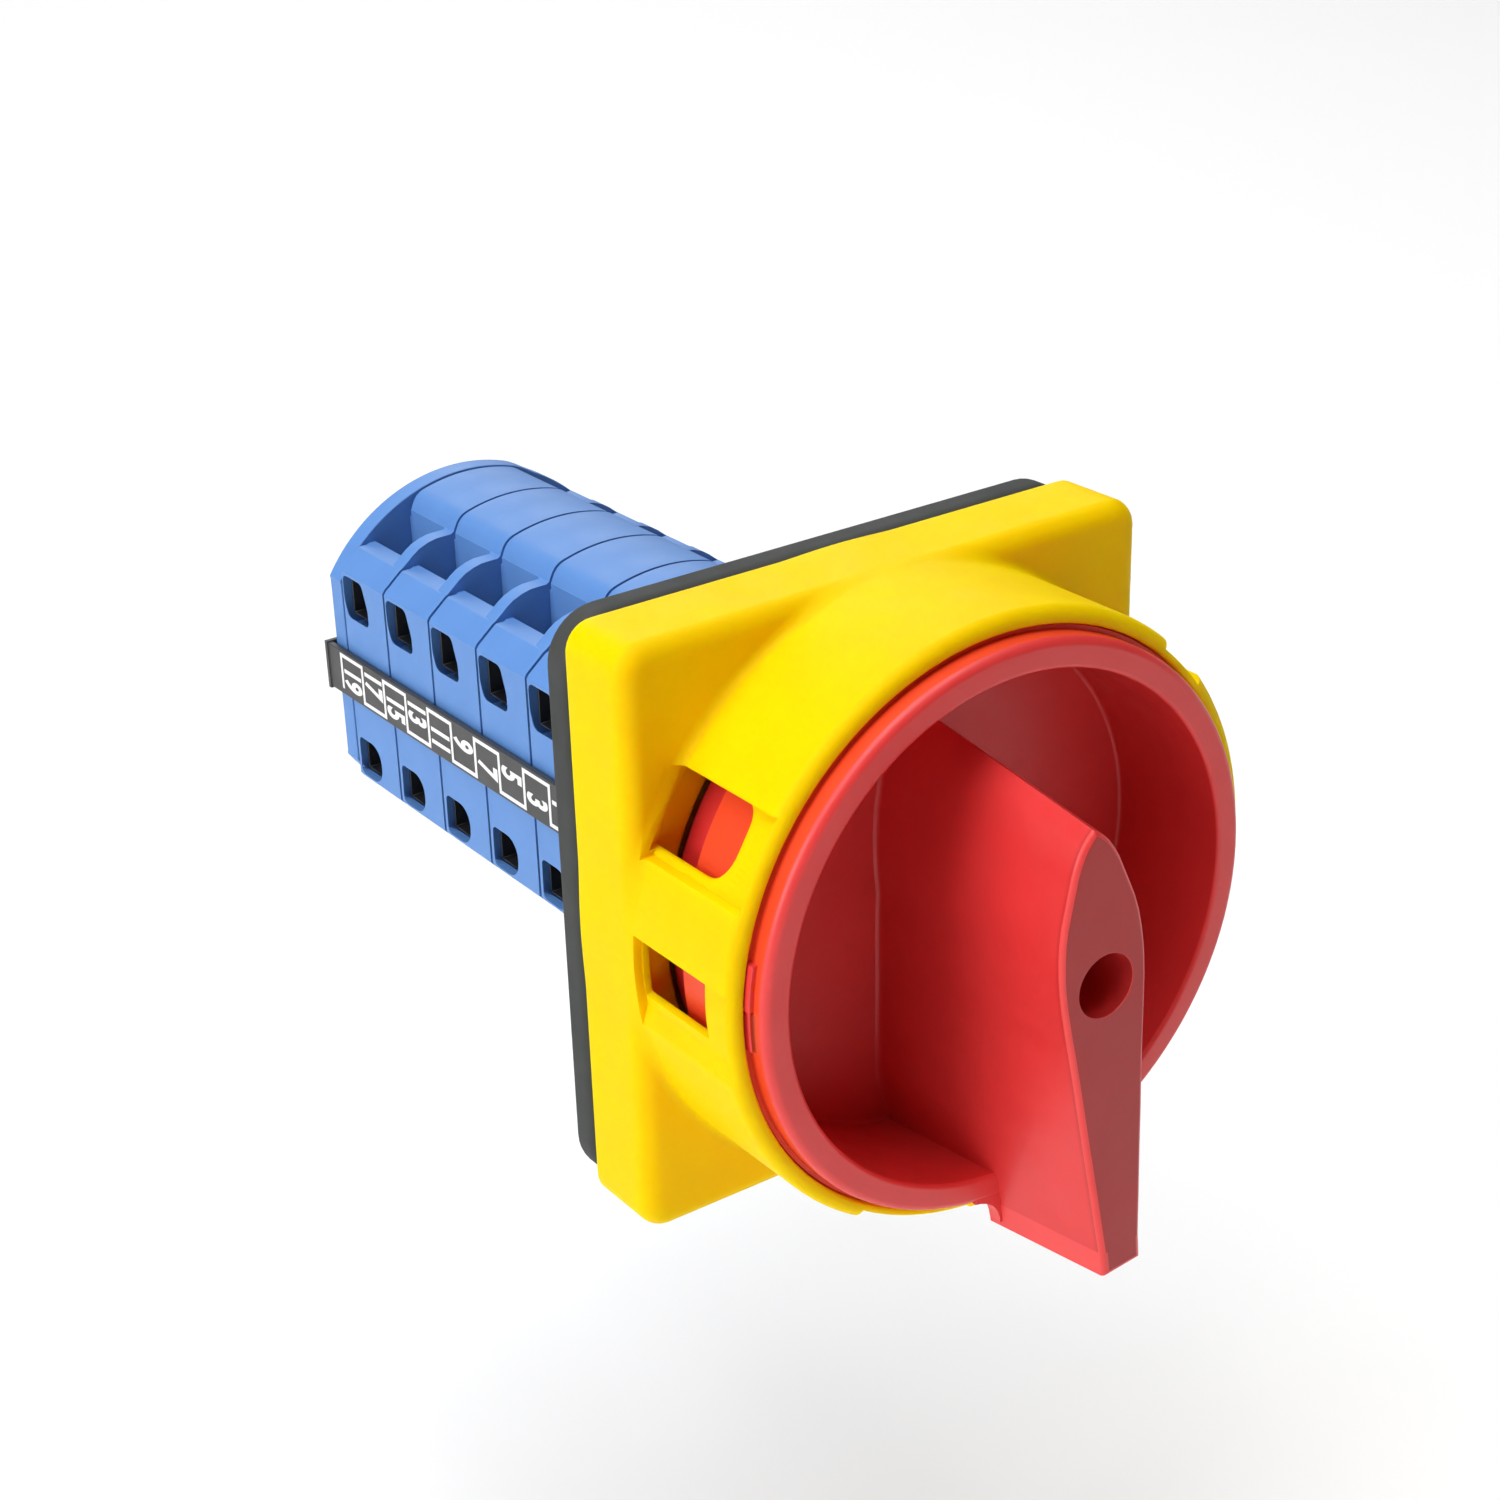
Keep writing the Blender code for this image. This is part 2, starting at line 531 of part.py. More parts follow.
def on_shaft(name, loop, y0, y1, mat):
    obj = flat(name, loop, y0, y1, mat, parts)
    cut(obj, box(name + "_hole", (-SHAFT_HOLE / 2, y0 - 1, -SHAFT_HOLE / 2), (SHAFT_HOLE / 2, y1 + 1, SHAFT_HOLE / 2)))
    return obj


star = on_shaft("star_wheel", [((7.4 + 0.6 * math.cos(math.radians(6 * a))) * math.sin(math.radians(a)),
                                (7.4 + 0.6 * math.cos(math.radians(6 * a))) * math.cos(math.radians(a)))
                               for a in range(0, 360, 6)], 5.0, 9.6, CAM_WHITE)
settle(star)
star.parent = axis


def cam_radius(a):
    """Cam radius at a degrees from the top towards +X, with the knob on its 0 mark."""
    a = (a + 180.0) % 360.0 - 180.0
    if -78 <= a <= 66:
        return CAM_R0 - CAM_RISE * a
    b = (a - 180.0 + 180.0) % 360.0 - 180.0
    if -66 <= b <= 66:
        return CAM_R0 + CAM_RISE * b
    if a > 0:
        t = (a - 66.0) / 48.0
        return (CAM_R0 - CAM_RISE * 66) * (1 - t) + (CAM_R0 - CAM_RISE * 66) * t
    t = (a + 114.0) / 36.0
    return (CAM_R0 + CAM_RISE * 66) * (1 - t) + (CAM_R0 + CAM_RISE * 78) * t


cam_loop = [(cam_radius(a) * math.sin(math.radians(a)), cam_radius(a) * math.cos(math.radians(a))) for a in range(0, 360, 8)]
cam = on_shaft("cam_1", cam_loop, 3.2, 7.0, CAM_WHITE)
hub = rod("cam_hub", 4.1, (0, 6.2, 0), 7.4, sides=24)
cam.modifiers.clear()
join(cam, hub)
cut(cam, bpy.data.objects["cam_1_hole"])
bpy.data.objects["cam_1_hole"].scale = (1.0, 3.0, 1.0)
settle(cam)
cam_mesh = cam.data
cam_mid = cam.location.y
cams = [cam] + [place("cam_%d" % k, cam_mesh, None) for k in range(2, STAGES + 1)]
for k, obj in enumerate(cams):
    obj.location = (0.0, cam_mid + (FIRST + PITCH * k) * MM, 0.0)
    obj.parent = axis

# ---- bridging contacts on their plungers ------------------------------------
rest = REST_TURN
TOP_TIP = CAM_R0 + CAM_RISE * rest + GAP                     # plunger tip over the cam, knob as it stands
TOP_SHUT = STRIP_Z[1] + ZC + TOUCH                           # bridge's inner face with its contacts closed
TOP_FACE = TOP_SHUT + CAM_RISE * (TURN + rest)
LOW_TIP = CAM_R0 - CAM_RISE * rest + GAP
LOW_SHUT = STRIP_Z[1] - ZC + TOUCH
LOW_FACE = LOW_SHUT + CAM_RISE * (TURN - rest)


def bridge_loop(tip, face, sign):
    right = [(0.8, tip), (2.2, tip + 1.4), (2.2, face), (6.6, face), (6.6, face + 0.9), (2.4, face + 0.9), (2.4, face + 1.9)]
    return [(x, z * sign) for x, z in right] + [(-x, z * sign) for x, z in reversed(right)]


for sign, name, tip, face in ((1, "top", TOP_TIP, TOP_FACE), (-1, "low", LOW_TIP, LOW_FACE)):
    mesh = None
    for k in range(STAGES):
        label = "bridge_%s_%d" % (name, k + 1)
        if mesh is None:
            obj = flat(label, bridge_loop(tip, face, sign), 3.4, 7.0, BRASS, parts)
            mesh, mid = obj.data, obj.location.y
        else:
            obj = place(label, mesh, None)
        obj.location = (0.0, mid + (FIRST + PITCH * k) * MM, 0.0)

# ---- detent sliders and springs ---------------------------------------------
for sx, name in ((-1, "left"), (1, "right")):
    nose = [(8.4, -0.7), (9.6, -2.2), (12.4, -2.2), (12.4, 2.2), (9.6, 2.2), (8.4, 0.7)]
    slider = flat("detent_" + name, [(x * sx, z) for x, z in nose], 5.1, 9.5, CAM_WHITE, parts)
    curve = bpy.data.curves.new("detent_spring_" + name, "CURVE")
    curve.dimensions = "3D"
    curve.bevel_depth = 0.3 * MM
    curve.bevel_resolution = 1
    curve.use_fill_caps = True
    turns, steps = 3.0, 30
    spline = curve.splines.new("POLY")
    spline.points.add(steps)
    for i, point in enumerate(spline.points):
        a = 2 * math.pi * turns * i / steps
        x = 13.1 + 2.7 * i / steps
        point.co = (x * sx * MM, 1.6 * MM * math.cos(a), 1.6 * MM * math.sin(a), 1.0)
    drawn = bpy.data.objects.new("spring_outline_" + name, curve)
    parts.objects.link(drawn)
    mesh = solid(drawn)
    bpy.data.objects.remove(drawn, do_unlink=True)
    bm = bmesh.new()
    bm.from_mesh(mesh)
    bmesh.ops.remove_doubles(bm, verts=bm.verts, dist=1e-6)
    bmesh.ops.recalc_face_normals(bm, faces=bm.faces)
    bm.to_mesh(mesh)
    bm.free()
    mesh.name = "detent_spring_" + name
    coil = place("detent_spring_" + name, mesh, STEEL)
    coil.location = (0.0, 7.3 * MM, 0.0)
    shade(coil)
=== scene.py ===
"""Changeover cam switch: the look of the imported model."""
import math

import bmesh
import bpy
import numpy as np
from mathutils import Matrix, Vector


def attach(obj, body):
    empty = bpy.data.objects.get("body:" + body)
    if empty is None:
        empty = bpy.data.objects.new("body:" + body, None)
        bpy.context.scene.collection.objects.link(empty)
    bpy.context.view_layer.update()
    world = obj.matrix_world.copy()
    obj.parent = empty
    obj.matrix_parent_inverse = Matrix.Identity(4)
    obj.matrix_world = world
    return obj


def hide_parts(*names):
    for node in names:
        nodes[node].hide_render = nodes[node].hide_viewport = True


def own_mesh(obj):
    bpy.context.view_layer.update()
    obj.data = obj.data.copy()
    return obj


MM = 0.001
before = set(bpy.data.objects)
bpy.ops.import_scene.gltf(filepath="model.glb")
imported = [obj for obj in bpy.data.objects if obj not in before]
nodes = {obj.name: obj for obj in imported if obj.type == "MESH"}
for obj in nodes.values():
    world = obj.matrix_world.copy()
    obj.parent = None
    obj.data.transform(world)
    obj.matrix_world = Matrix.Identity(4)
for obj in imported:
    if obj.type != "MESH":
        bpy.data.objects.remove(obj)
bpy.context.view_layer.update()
scene = bpy.context.scene

# ---- the CAD's own numbers, mm ----------------------------------------------
PLATE, PLATE_CORNER = 64.0, 3.0
PLATE_FRONT, PLATE_BACK, PLATE_FLOOR = -13.55, -3.9, -9.9
COLLAR_R, COLLAR_LOW_R, COLLAR_IN_R, COLLAR_FRONT = 32.2, 31.2, 30.5, -29.4
SEAL, SEAL_CORNER, SEAL_T = 63.6, 5.5, 3.6
REST_TURN = -6.0
ZC = -1.05
BLOCK_R, BLOCK_W = 21.65, 18.2
FIRST, PITCH, STAGES, STAGE_T, WALL_T = 17.0, 10.6, 5, 10.3, 2.0
COVER_Y, MECH_Y = (70.0, 72.7), (3.0, 16.7)


# ---- mesh helpers -----------------------------------------------------------
def keep(name, mesh):
    obj = bpy.data.objects.new(name, mesh)
    scene.collection.objects.link(obj)
    return obj


def loft(name, rings, cap=True, loop=False):
    """Rings of (x, y, z) points in mm, joined one to the next."""
    bm = bmesh.new()
    rows = [[bm.verts.new((p[0] * MM, p[1] * MM, p[2] * MM)) for p in ring] for ring in rings]
    pairs = list(zip(rows, rows[1:])) + ([(rows[-1], rows[0])] if loop else [])
    for a, b in pairs:
        n = len(a)
        for i in range(n):
            j = (i + 1) % n
            bm.faces.new((a[i], a[j], b[j], b[i]))
    if cap and not loop:
        bm.faces.new(rows[0])
        bm.faces.new(rows[-1][::-1])
    bmesh.ops.recalc_face_normals(bm, faces=bm.faces)
    mesh = bpy.data.meshes.new(name)
    bm.to_mesh(mesh)
    bm.free()
    return keep(name, mesh)


def prism(name, loop, y0, y1):
    return loft(name, [[(x, y, z) for x, z in loop] for y in (y0, y1)])


def block(name, lo, hi):
    return prism(name, [(lo[0], lo[2]), (hi[0], lo[2]), (hi[0], hi[2]), (lo[0], hi[2])], lo[1], hi[1])


def turned(name, profile, steps=192, loop=False):
    """A profile of (radius, y) points round the Y axis; a point on the axis closes it."""
    bm = bmesh.new()
    rows = []
    for r, y in profile:
        if r == 0:
            rows.append([bm.verts.new((0, y * MM, 0))])
        else:
            rows.append([bm.verts.new((r * MM * math.cos(2 * math.pi * i / steps), y * MM,
                                       r * MM * math.sin(2 * math.pi * i / steps))) for i in range(steps)])
    pairs = list(zip(rows, rows[1:])) + ([(rows[-1], rows[0])] if loop else [])
    for a, b in pairs:
        for i in range(steps):
            j = (i + 1) % steps
            if len(a) == 1 and len(b) == 1:
                continue
            if len(a) == 1:
                bm.faces.new((a[0], b[j], b[i]))
            elif len(b) == 1:
                bm.faces.new((a[i], a[j], b[0]))
            else:
                bm.faces.new((a[i], a[j], b[j], b[i]))
    bmesh.ops.recalc_face_normals(bm, faces=bm.faces)
    mesh = bpy.data.meshes.new(name)
    bm.to_mesh(mesh)
    bm.free()
    return keep(name, mesh)


def rod(name, r, centre, length, axis="Y", steps=48, bevel=0.0):
    h = length / 2
    if bevel:
        prof = [(0, -h), (r - bevel, -h), (r - bevel * 0.3, -h + bevel * 0.3), (r, -h + bevel),
                (r, h - bevel), (r - bevel * 0.3, h - bevel * 0.3), (r - bevel, h), (0, h)]
    else:
        prof = [(0, -h), (r, -h), (r, h), (0, h)]
    obj = turned(name, prof, steps)
    turn = {"X": Matrix.Rotation(math.radians(90), 4, "Z"), "Y": Matrix.Identity(4),
            "Z": Matrix.Rotation(math.radians(90), 4, "X")}[axis]
    obj.data.transform(Matrix.Translation(Vector(centre) * MM) @ turn)
    return obj


def settle(obj):
    """Applies the object's modifiers."""
    graph = bpy.context.evaluated_depsgraph_get()
    graph.update()
    mesh = bpy.data.meshes.new_from_object(obj.evaluated_get(graph), preserve_all_data_layers=True, depsgraph=graph)
    mesh.name = obj.name
    old = obj.data
    obj.modifiers.clear()
    obj.data = mesh
    if old.users == 0:
        bpy.data.meshes.remove(old)
    return obj


def boolean(obj, tools, kind="DIFFERENCE"):
    for tool in tools:
        step = obj.modifiers.new("step", "BOOLEAN")
        step.operation = kind
        step.solver = "EXACT"
        step.object = tool
    settle(obj)
    for tool in tools:
        bpy.data.objects.remove(tool, do_unlink=True)
    return obj


def soften(obj, width, segments=2, angle=32.0, weigh=True):
    """Rounds the edges and keeps the flat faces flat in the shading."""
    edge = obj.modifiers.new("edge", "BEVEL")
    edge.width = width * MM
    edge.segments = segments
    edge.limit_method = "ANGLE"
    edge.angle_limit = math.radians(angle)
    edge.use_clamp_overlap = True
    edge.miter_outer = "MITER_ARC"
    settle(obj)
    smooth(obj, 40.0, weigh)
    return obj


def smooth(obj, angle=35.0, weigh=True):
    obj.data.shade_smooth()
    obj.data.set_sharp_from_angle(angle=math.radians(angle))
    if weigh:
        even = obj.modifiers.new("even", "WEIGHTED_NORMAL")
        even.mode = "FACE_AREA"
        even.weight = 100
        even.keep_sharp = True
        settle(obj)
    return obj


def arc(cx, cz, r, a0, a1, n):
    return [(cx + r * math.cos(math.radians(a0 + (a1 - a0) * i / n)),
             cz + r * math.sin(math.radians(a0 + (a1 - a0) * i / n))) for i in range(n + 1)]


def filleted(points, radii, n=5):
    """A closed outline with each corner rounded to its own radius."""
    out = []
    count = len(points)
    for i in range(count):
        p = Vector(points[i])
        a = Vector(points[i - 1]) - p
        b = Vector(points[(i + 1) % count]) - p
        r = radii[i] if isinstance(radii, (list, tuple)) else radii
        half = a.angle(b) / 2
        if r <= 0 or half > math.radians(89):
            out.append(tuple(p))
            continue
        reach = min(r / math.tan(half), 0.48 * a.length, 0.48 * b.length)
        r = reach * math.tan(half)
        a.normalize()
        b.normalize()
        centre = p + (a + b).normalized() * (r / math.sin(half))
        start, end = p + a * reach - centre, p + b * reach - centre
        turn = start.angle_signed(end)
        for k in range(n + 1):
            t = turn * k / n
            c, s = math.cos(-t), math.sin(-t)
            out.append((centre.x + start.x * c - start.y * s, centre.y + start.x * s + start.y * c))
    return out


def both_ways(quarter):
    left = quarter + [(x, -z) for x, z in reversed(quarter)]
    right = [(-x, z) for x, z in reversed(left)]
    loop = []
    for x, z in left + right:
        if not loop or math.dist(loop[-1], (x, z)) > 1e-6:
            loop.append((x, z))
    if math.dist(loop[0], loop[-1]) < 1e-6:
        loop.pop()
    return [(x, z + ZC) for x, z in loop]


def smoothstep(a, b, x):
    t = np.clip((x - a) / (b - a), 0.0, 1.0)
    return t * t * (3 - 2 * t)


# ---- materials --------------------------------------------------------------
class Nodes:
    """Short names for building a material's nodes."""

    def __init__(self, name):
        self.mat = bpy.data.materials.new(name)
        self.mat.use_nodes = True
        self.tree = self.mat.node_tree
        self.shader = self.tree.nodes["Principled BSDF"]
        self.coord = self.tree.nodes.new("ShaderNodeTexCoord")

    def add(self, kind, **values):
        node = self.tree.nodes.new(kind)
        for key, value in values.items():
            if key in node.inputs:
                node.inputs[key].default_value = value
            else:
                setattr(node, key, value)
        return node

    def link(self, a, b):
        self.tree.links.new(a, b)

    def noise(self, scale, detail=3.0, rough=0.55, stretch=None):
        node = self.add("ShaderNodeTexNoise", Scale=scale, Detail=detail, Roughness=rough)
        if stretch is None:
            self.link(self.coord.outputs["Object"], node.inputs["Vector"])
        else:
            spread = self.add("ShaderNodeMapping")
            spread.inputs["Scale"].default_value = stretch
            self.link(self.coord.outputs["Object"], spread.inputs["Vector"])
            self.link(spread.outputs["Vector"], node.inputs["Vector"])
        return node

    def ramp(self, source, stops):
        node = self.add("ShaderNodeValToRGB")
        band = node.color_ramp
        while len(band.elements) < len(stops):
            band.elements.new(0.5)
        for element, (at, colour) in zip(band.elements, stops):
            element.position = at
            element.color = (*colour, 1.0) if len(colour) == 3 else colour
        self.link(source, node.inputs["Fac"])
        return node

    def bump(self, *layers):
        """Layers of (height output, strength, distance)."""
        last = None
        for height, strength, distance in layers:
            node = self.add("ShaderNodeBump", Strength=strength, Distance=distance)
            self.link(height, node.inputs["Height"])
            if last is not None:
                self.link(last.outputs["Normal"], node.inputs["Normal"])
            last = node
        self.link(last.outputs["Normal"], self.shader.inputs["Normal"])

    def range(self, source, lo, hi, a=0.3, b=0.7):
        node = self.add("ShaderNodeMapRange")
        node.inputs["From Min"].default_value = a
        node.inputs["From Max"].default_value = b
        node.inputs["To Min"].default_value = lo
        node.inputs["To Max"].default_value = hi
        self.link(source, node.inputs["Value"])
        return node


def plastic(name, colour, dark, light, rough, grain=0.12, spec=0.5, soft=0.0, face=None):
    """Moulded plastic: faint cloudiness in the colour, fine spark-eroded grain, and uneven gloss."""
    m = Nodes(name)
    cloud = m.noise(70.0, 4.0, 0.6)
    tone = m.ramp(cloud.outputs["Fac"], [(0.30, dark), (0.5, colour), (0.72, light)])
    colour_out = tone.outputs["Color"]
    if face is not None:
        # painted shade: the colour is scaled darker towards the front along Y, standing in for the shade on the grip's
        # front face
        split = m.add("ShaderNodeSeparateXYZ")
        m.link(m.coord.outputs["Object"], split.inputs["Vector"])
        painted_shade = m.range(split.outputs["Y"], face[2], 1.0, face[0], face[1])
        shaded_colour = m.add("ShaderNodeVectorMath", operation="SCALE")
        m.link(colour_out, shaded_colour.inputs["Vector"])
        m.link(painted_shade.outputs["Result"], shaded_colour.inputs["Scale"])
        colour_out = shaded_colour.outputs["Vector"]
    m.link(colour_out, m.shader.inputs["Base Color"])
    patch = m.noise(260.0, 3.0, 0.5)
    gloss = m.range(patch.outputs["Fac"], rough - 0.05, rough + 0.07)
    m.link(gloss.outputs["Result"], m.shader.inputs["Roughness"])
    fine = m.noise(5200.0, 2.0, 0.6)
    coarse = m.noise(900.0, 3.0, 0.5)
    m.bump((coarse.outputs["Fac"], 0.05, 0.0002), (fine.outputs["Fac"], grain, 0.00004))
    m.shader.inputs["Specular IOR Level"].default_value = spec
    if soft:
        m.shader.inputs["Subsurface Weight"].default_value = soft
        m.shader.inputs["Subsurface Radius"].default_value = (1.0, 0.6, 0.06)
        m.shader.inputs["Subsurface Scale"].default_value = 0.0022
    return m.mat


YELLOW = plastic("yellow_plastic", (0.98, 0.61, 0.0), (0.955, 0.58, 0.0), (1.0, 0.635, 0.0), 0.5, 0.08, 0.05, 0.7)
# the red's last argument paints shade onto the grip's front face
RED = plastic("red_plastic", (0.71, 0.032, 0.032), (0.67, 0.029, 0.029), (0.745, 0.036, 0.036), 0.38, 0.10, 0.4, 0.0, (-0.0441, -0.0434, 0.68))
# painted highlight: a lighter red for the knob's rim, the grip's front edges and the lugs
RED_PAINTED_HIGHLIGHT = plastic("red_plastic_painted_highlight", (0.81, 0.046, 0.044), (0.77, 0.042, 0.040), (0.85, 0.052, 0.050), 0.38, 0.10, 0.5)
# painted reflection: an orange-tinted red for the knob's sides, standing in for the yellow collar's light bouncing onto
# them
RED_PAINTED_BOUNCE = plastic("red_plastic_painted_bounce", (0.82, 0.062, 0.016), (0.78, 0.057, 0.014), (0.86, 0.068, 0.019), 0.42, 0.10, 0.3)
BLUE = plastic("blue_plastic", (0.108, 0.262, 0.615), (0.101, 0.247, 0.585), (0.116, 0.277, 0.645), 0.50, 0.12, 0.4)
SEAL_GREY = plastic("seal_rubber", (0.048, 0.051, 0.049), (0.042, 0.045, 0.043), (0.056, 0.059, 0.056), 0.72, 0.25, 0.3)
LABEL = plastic("label_black", (0.05, 0.05, 0.051), (0.045, 0.045, 0.046), (0.056, 0.056, 0.057), 0.5, 0.05)
PRINT = plastic("label_white", (0.86, 0.86, 0.86), (0.82, 0.82, 0.82), (0.9, 0.9, 0.9), 0.5, 0.03)
CAM_WHITE = plastic("cam_plastic", (0.78, 0.77, 0.72), (0.74, 0.73, 0.68), (0.82, 0.81, 0.77), 0.45, 0.08)


def metal(name, colour, rough, streak=None):
    m = Nodes(name)
    m.shader.inputs["Metallic"].default_value = 1.0
    patch = m.noise(420.0, 4.0, 0.6, streak)
    tone = m.ramp(patch.outputs["Fac"], [(0.3, tuple(c * 0.86 for c in colour)), (0.7, colour)])
    m.link(tone.outputs["Color"], m.shader.inputs["Base Color"])
    gloss = m.range(patch.outputs["Fac"], rough - 0.06, rough + 0.10)
    m.link(gloss.outputs["Result"], m.shader.inputs["Roughness"])
    m.bump((patch.outputs["Fac"], 0.08, 0.0001))
    return m.mat


STEEL = metal("steel", (0.58, 0.58, 0.57), 0.32, (1.0, 6.0, 1.0))
BRASS = metal("brass", (0.62, 0.45, 0.22), 0.34)


# partly painted shade: the clamp parts are real, but their dark colour stands in for the shade inside the wire openings
DARK_STEEL_AND_PAINTED_SHADE = metal("dark_steel_and_painted_shade", (0.11, 0.115, 0.13), 0.5)


def paint(obj, material):
    obj.data.materials.clear()
    obj.data.materials.append(material)
    return obj


# ---- front plate and collar -------------------------------------------------
# The outer skin is a grid in (angle, way along the profile) that is then moved onto one smooth
# implicit surface: a plate with rounded edges and a collar that runs into it with a small fillet.
EDGE_R, BASE_R, LIP_R = 2.1, 1.1, 1.3


def skin(p):
    x, y, z = p[:, 0], p[:, 1], p[:, 2]
    rho = np.hypot(x, z)
    k = PLATE / 2 - PLATE_CORNER
    qx, qz = np.abs(x) - k, np.abs(z) - k
    flat = np.hypot(np.maximum(qx, 0), np.maximum(qz, 0)) + np.minimum(np.maximum(qx, qz), 0) - PLATE_CORNER
    a, b = flat + EDGE_R, (PLATE_FRONT - y) + EDGE_R
    plate = np.minimum(np.maximum(a, b), 0) + np.hypot(np.maximum(a, 0), np.maximum(b, 0)) - EDGE_R
    out = COLLAR_R - 0.5 * smoothstep(PLATE_FRONT - 0.5, PLATE_FRONT + 3.0, y)
    a, b = rho - out + LIP_R, (COLLAR_FRONT - y) + LIP_R
    collar = np.minimum(np.maximum(a, b), 0) + np.hypot(np.maximum(a, 0), np.maximum(b, 0)) - LIP_R
    join = np.maximum(BASE_R, np.minimum(plate, collar)) - np.hypot(np.maximum(BASE_R - plate, 0), np.maximum(BASE_R - collar, 0))
    back_r = 0.45
    a, b = join + back_r, (y - PLATE_BACK) + back_r
    return np.minimum(np.maximum(a, b), 0) + np.hypot(np.maximum(a, 0), np.maximum(b, 0)) - back_r


def trace_columns(angles, count):
    """Walks along the skin from the collar's lip round to the plate's back, once for each angle, and shares
    out a number of points by length and by how much the skin bends."""
    c, s = np.cos(np.radians(angles)), np.sin(np.radians(angles))

    def at(rho, y):
        return skin(np.stack([rho * c, y, rho * s], axis=1))

    h = 1e-3

    def slope(rho, y):
        g = np.stack([(at(rho + h, y) - at(rho - h, y)) / (2 * h), (at(rho, y + h) - at(rho, y - h)) / (2 * h)], axis=1)
        return g, np.maximum(np.hypot(g[:, 0], g[:, 1]), 0.3)

    rho, y = np.full(len(angles), 30.8), np.full(len(angles), COLLAR_FRONT)
    step, paths, done = 0.05, [], np.zeros(len(angles), bool)
    paths.append(np.stack([rho, y], axis=1))
    for _ in range(1400):
        g, size = slope(rho, y)
        rho2, y2 = rho - g[:, 1] / size * step, y + g[:, 0] / size * step
        for _ in range(2):
            f = at(rho2, y2)
            g, size = slope(rho2, y2)
            rho2, y2 = rho2 - f * g[:, 0] / size ** 2, y2 - f * g[:, 1] / size ** 2
        rho, y = np.where(done, rho, rho2), np.where(done, y, y2)
        paths.append(np.stack([rho, y], axis=1))
        done |= (rho < 29.0) & (y > PLATE_BACK - 0.05)
        if done.all():
            break
    paths = np.stack(paths, axis=1)
    move = np.diff(paths, axis=1)
    length = np.hypot(move[..., 0], move[..., 1])
    way = np.unwrap(np.arctan2(move[..., 1], move[..., 0]), axis=1)
    bend = np.abs(np.diff(way, axis=1, prepend=way[:, :1]))
    bend = np.where(length > step * 0.3, bend, 0.0)
    share = np.concatenate([np.zeros((len(angles), 1)), np.cumsum(length / 2.4 + bend / math.radians(8.0), axis=1)], axis=1)
    columns = []
    for i in range(len(angles)):
        marks = np.linspace(0.0, share[i, -1], count)
        columns.append(np.stack([np.interp(marks, share[i], paths[i, :, 0]), np.interp(marks, share[i], paths[i, :, 1])], axis=1))
    out = np.stack(columns)
    return np.stack([out[..., 0] * c[:, None], out[..., 1], out[..., 0] * s[:, None]], axis=2)


angles = [float(v) for v in np.round(np.arange(-180.0, 180.0, 0.75), 3)]
columns = trace_columns(np.array(angles), 100)
columns[..., [0, 2]] = np.clip(columns[..., [0, 2]], -32.18, 32.18)
rings = [[tuple(columns[i, j]) for i in range(len(angles))] for j in range(columns.shape[1])]


def plain_ring(r, y):
    return [(r * math.cos(math.radians(a)), y, r * math.sin(math.radians(a))) for a in angles]


inner = [(8.0, PLATE_BACK), (8.0, PLATE_FLOOR), (25.9, PLATE_FLOOR), (26.0, PLATE_FLOOR - 0.35), (26.15, PLATE_FLOOR - 0.5),
         (26.95, PLATE_FLOOR - 0.5), (27.1, PLATE_FLOOR - 0.35), (27.2, PLATE_FLOOR), (27.35, PLATE_FLOOR),
         (27.4, -12.3), (27.45, -12.44), (27.6, -12.5), (COLLAR_IN_R - 0.3, -12.5), (COLLAR_IN_R - 0.08, -12.58), (COLLAR_IN_R, -12.8),
         (COLLAR_IN_R, COLLAR_FRONT + 1.6), (COLLAR_IN_R - 0.04, COLLAR_FRONT + 0.4), (COLLAR_IN_R + 0.0, COLLAR_FRONT + 0.13),
         (COLLAR_IN_R + 0.12, COLLAR_FRONT + 0.02), (COLLAR_IN_R + 0.2, COLLAR_FRONT)]
rings += [plain_ring(r, y) for r, y in inner]
front = loft("front_plate_look", rings, loop=True)


def window_tool(name, side, outline, fixed, depth=0.25, flare=0.22):
    """A cutter along X through the collar, with a small chamfer that follows the collar's outside. The edge at
    y = fixed, on the plate's front, stays where it is."""
    cy = sum(p[0] for p in outline) / len(outline)
    cz = sum(p[1] for p in outline) / len(outline)
    hz = max(p[1] for p in outline) - cz
    hy = cy - min(p[0] for p in outline)

    def ring(radius, grow):
        made = []
        for y, z in outline:
            zz = cz + (z - cz) * (hz + grow) / hz
            yy = y if y > fixed - 1e-6 else fixed + (y - fixed) * (hy + grow) / hy
            made.append((-side * math.sqrt(max(radius * radius - zz * zz, 0.01)), yy, side * zz))
        return made

    top = COLLAR_LOW_R
    return loft(name, [ring(top + 2.4, flare * (1 + 2.4 / depth) * 0.35), ring(top, flare), ring(top - depth, 0.0), ring(26.5, 0.0)])


def step_tool(name, side, z0, z1, ramp=0.0, y0=-28.7):
    """A cutter that lowers the collar's outside between two heights; the lower end can run out in a slope."""
    heights = list(np.linspace(z0, z1, 15))
    radii = [COLLAR_LOW_R] * 15
    if ramp:
        for i in range(1, 6):
            heights.insert(0, z0 - ramp * i / 5)
            radii.insert(0, COLLAR_LOW_R + 1.15 * i / 5)
    made = []
    for z, r in zip(heights, radii):
        a, c = -side * math.sqrt(r * r - z * z), -side * 37.0
        made.append([(a, y0, side * z), (c, y0, side * z), (c, PLATE_FRONT - 0.04, side * z), (a, PLATE_FRONT - 0.04, side * z)])
    return loft(name, made)


def turn_tool(name, a0, a1):
    made = []
    for a in np.linspace(math.radians(a0), math.radians(a1), 25):
        made.append([(r * math.cos(a), y, r * math.sin(a)) for r, y in ((COLLAR_LOW_R, -31.0), (37.0, -31.0), (37.0, PLATE_FRONT - 0.04), (COLLAR_LOW_R, PLATE_FRONT - 0.04))])
    return loft(name, made)


